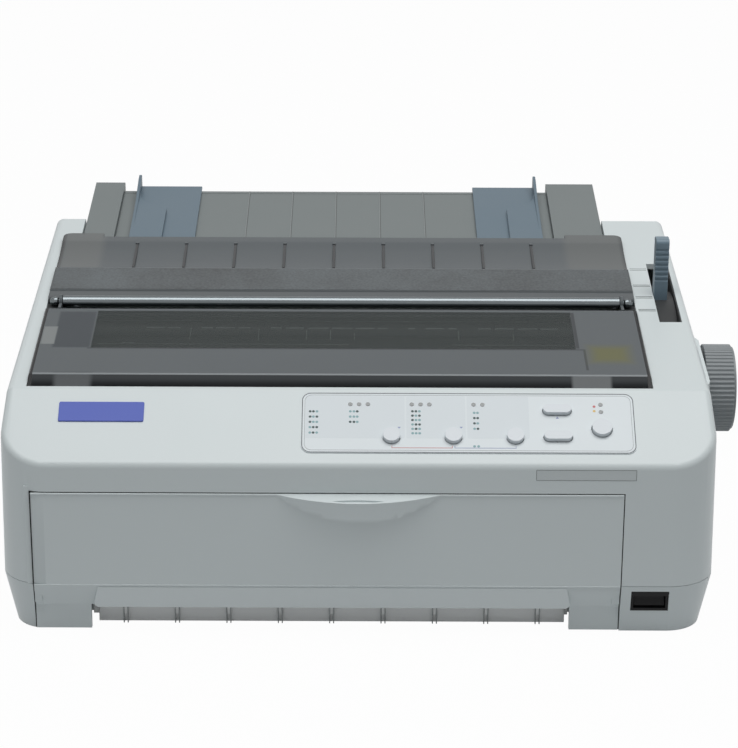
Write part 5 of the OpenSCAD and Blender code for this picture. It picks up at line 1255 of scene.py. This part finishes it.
# %% Shield and slot wall
LEVER_AXLE = (173.0, 72.0)
SHIELD_OUTER, SHIELD_INNER = 68.5, 67.3
SLOT_LEFT, SLOT_RIGHT = 174.1, 187.1
turns = [math.radians(a) for a in range(-52, 17, 4)]


def on_ring(radius, turn):
    """A point of the shield's ring, as depth and height."""
    return LEVER_AXLE[0] + radius * math.sin(turn), LEVER_AXLE[1] + radius * math.cos(turn)


ring = [on_ring(SHIELD_OUTER, turn) for turn in turns]
ring += [on_ring(SHIELD_INNER, turn) for turn in reversed(turns)]
shield = outline(ring, SLOT_LEFT + 0.6, SLOT_RIGHT - 1.0)
shade(lay(shield, WHOLE @ ACROSS), 30)
hand_over(shield, "lever_shield", "release_lever", slot_shade, "dark_plastic")
slot_wall = block((SLOT_RIGHT - 0.7, 74, -18), (SLOT_RIGHT - 0.1, 162, -0.6))
hand_over(lay(slot_wall, COVERS), "lever_slot_wall", "case", slot_shade, "dark_plastic")
print("shield points", len(ring))

# %% [markdown]
# ## Metal at the back
# A mains inlet shows three flat pins, and each data port has a thin steel shell round its black body.
# A pin is a box with rounded edges, and a shell is a frame line with some height.

# %% Pins of the mains inlet and shells of the ports
PIN_HALF, PIN_HEIGHT, PIN_FROM, PIN_TO = 1.0, 4.0, 2.0, 15.0
PIN_PLACES = [(93, 15), (107, 15), (100, 20)]
PORT_LOW, PORT_HIGH, SHELL_FOOT, SHELL_TOP = 14.4, 24.8, -0.7, 0.4
pins = [soften(block((x - PIN_HALF, z, PIN_FROM), (x + PIN_HALF, z + PIN_HEIGHT, PIN_TO)), 0.4)
        for x, z in PIN_PLACES]
hand_over(lay(weld(pins), BACK), "inlet_pins", "case", sheet_steel, "steel")
shells = [rounded((left, PORT_LOW), (right, PORT_HIGH), corner, SHELL_FOOT, SHELL_TOP, line)
          for left, right, corner, line in ((-133.2, -80.8, 2.4, 1.1), (-65.2, -54.8, 1.0, 1.0))]
hand_over(lay(weld(shells), BACK), "port_shells", "case", sheet_steel, "steel")
print("pins", len(pins), "shells", len(shells))

# %% [markdown]
# ## Nameplate and switch
# The nameplate is a bare violet plate with round corners, a little proud of the slope. The switch
# stands in a sunk frame, whose upper rim is one more dark bar.

# %% The bare nameplate
PLATE_LOW, PLATE_HIGH, PLATE_TOP = (-163.7, 23.0), (-117.2, 36.2), 1.2
plate = rounded(PLATE_LOW, PLATE_HIGH, 0.9, -0.4, PLATE_TOP)
soften(plate, 0.25, 2, 50)
hand_over(lay(plate, SLOPE), "bare_plate", "case", nameplate_violet, "nameplate_violet", "nameplate")
print("nameplate", round(PLATE_HIGH[0] - PLATE_LOW[0], 1), "mm wide")

# %% Upper rim of the switch
switch_rim = rounded((150.0, 24.5), (170.8, 28.6), 1.5, -4.0, -0.45)
soften(switch_rim, 0.2)
hand_over(lay(switch_rim, FRONT), "switch_rim", "case", black_plastic, "black_plastic")
print("switch rim faces", len(switch_rim.data.polygons))
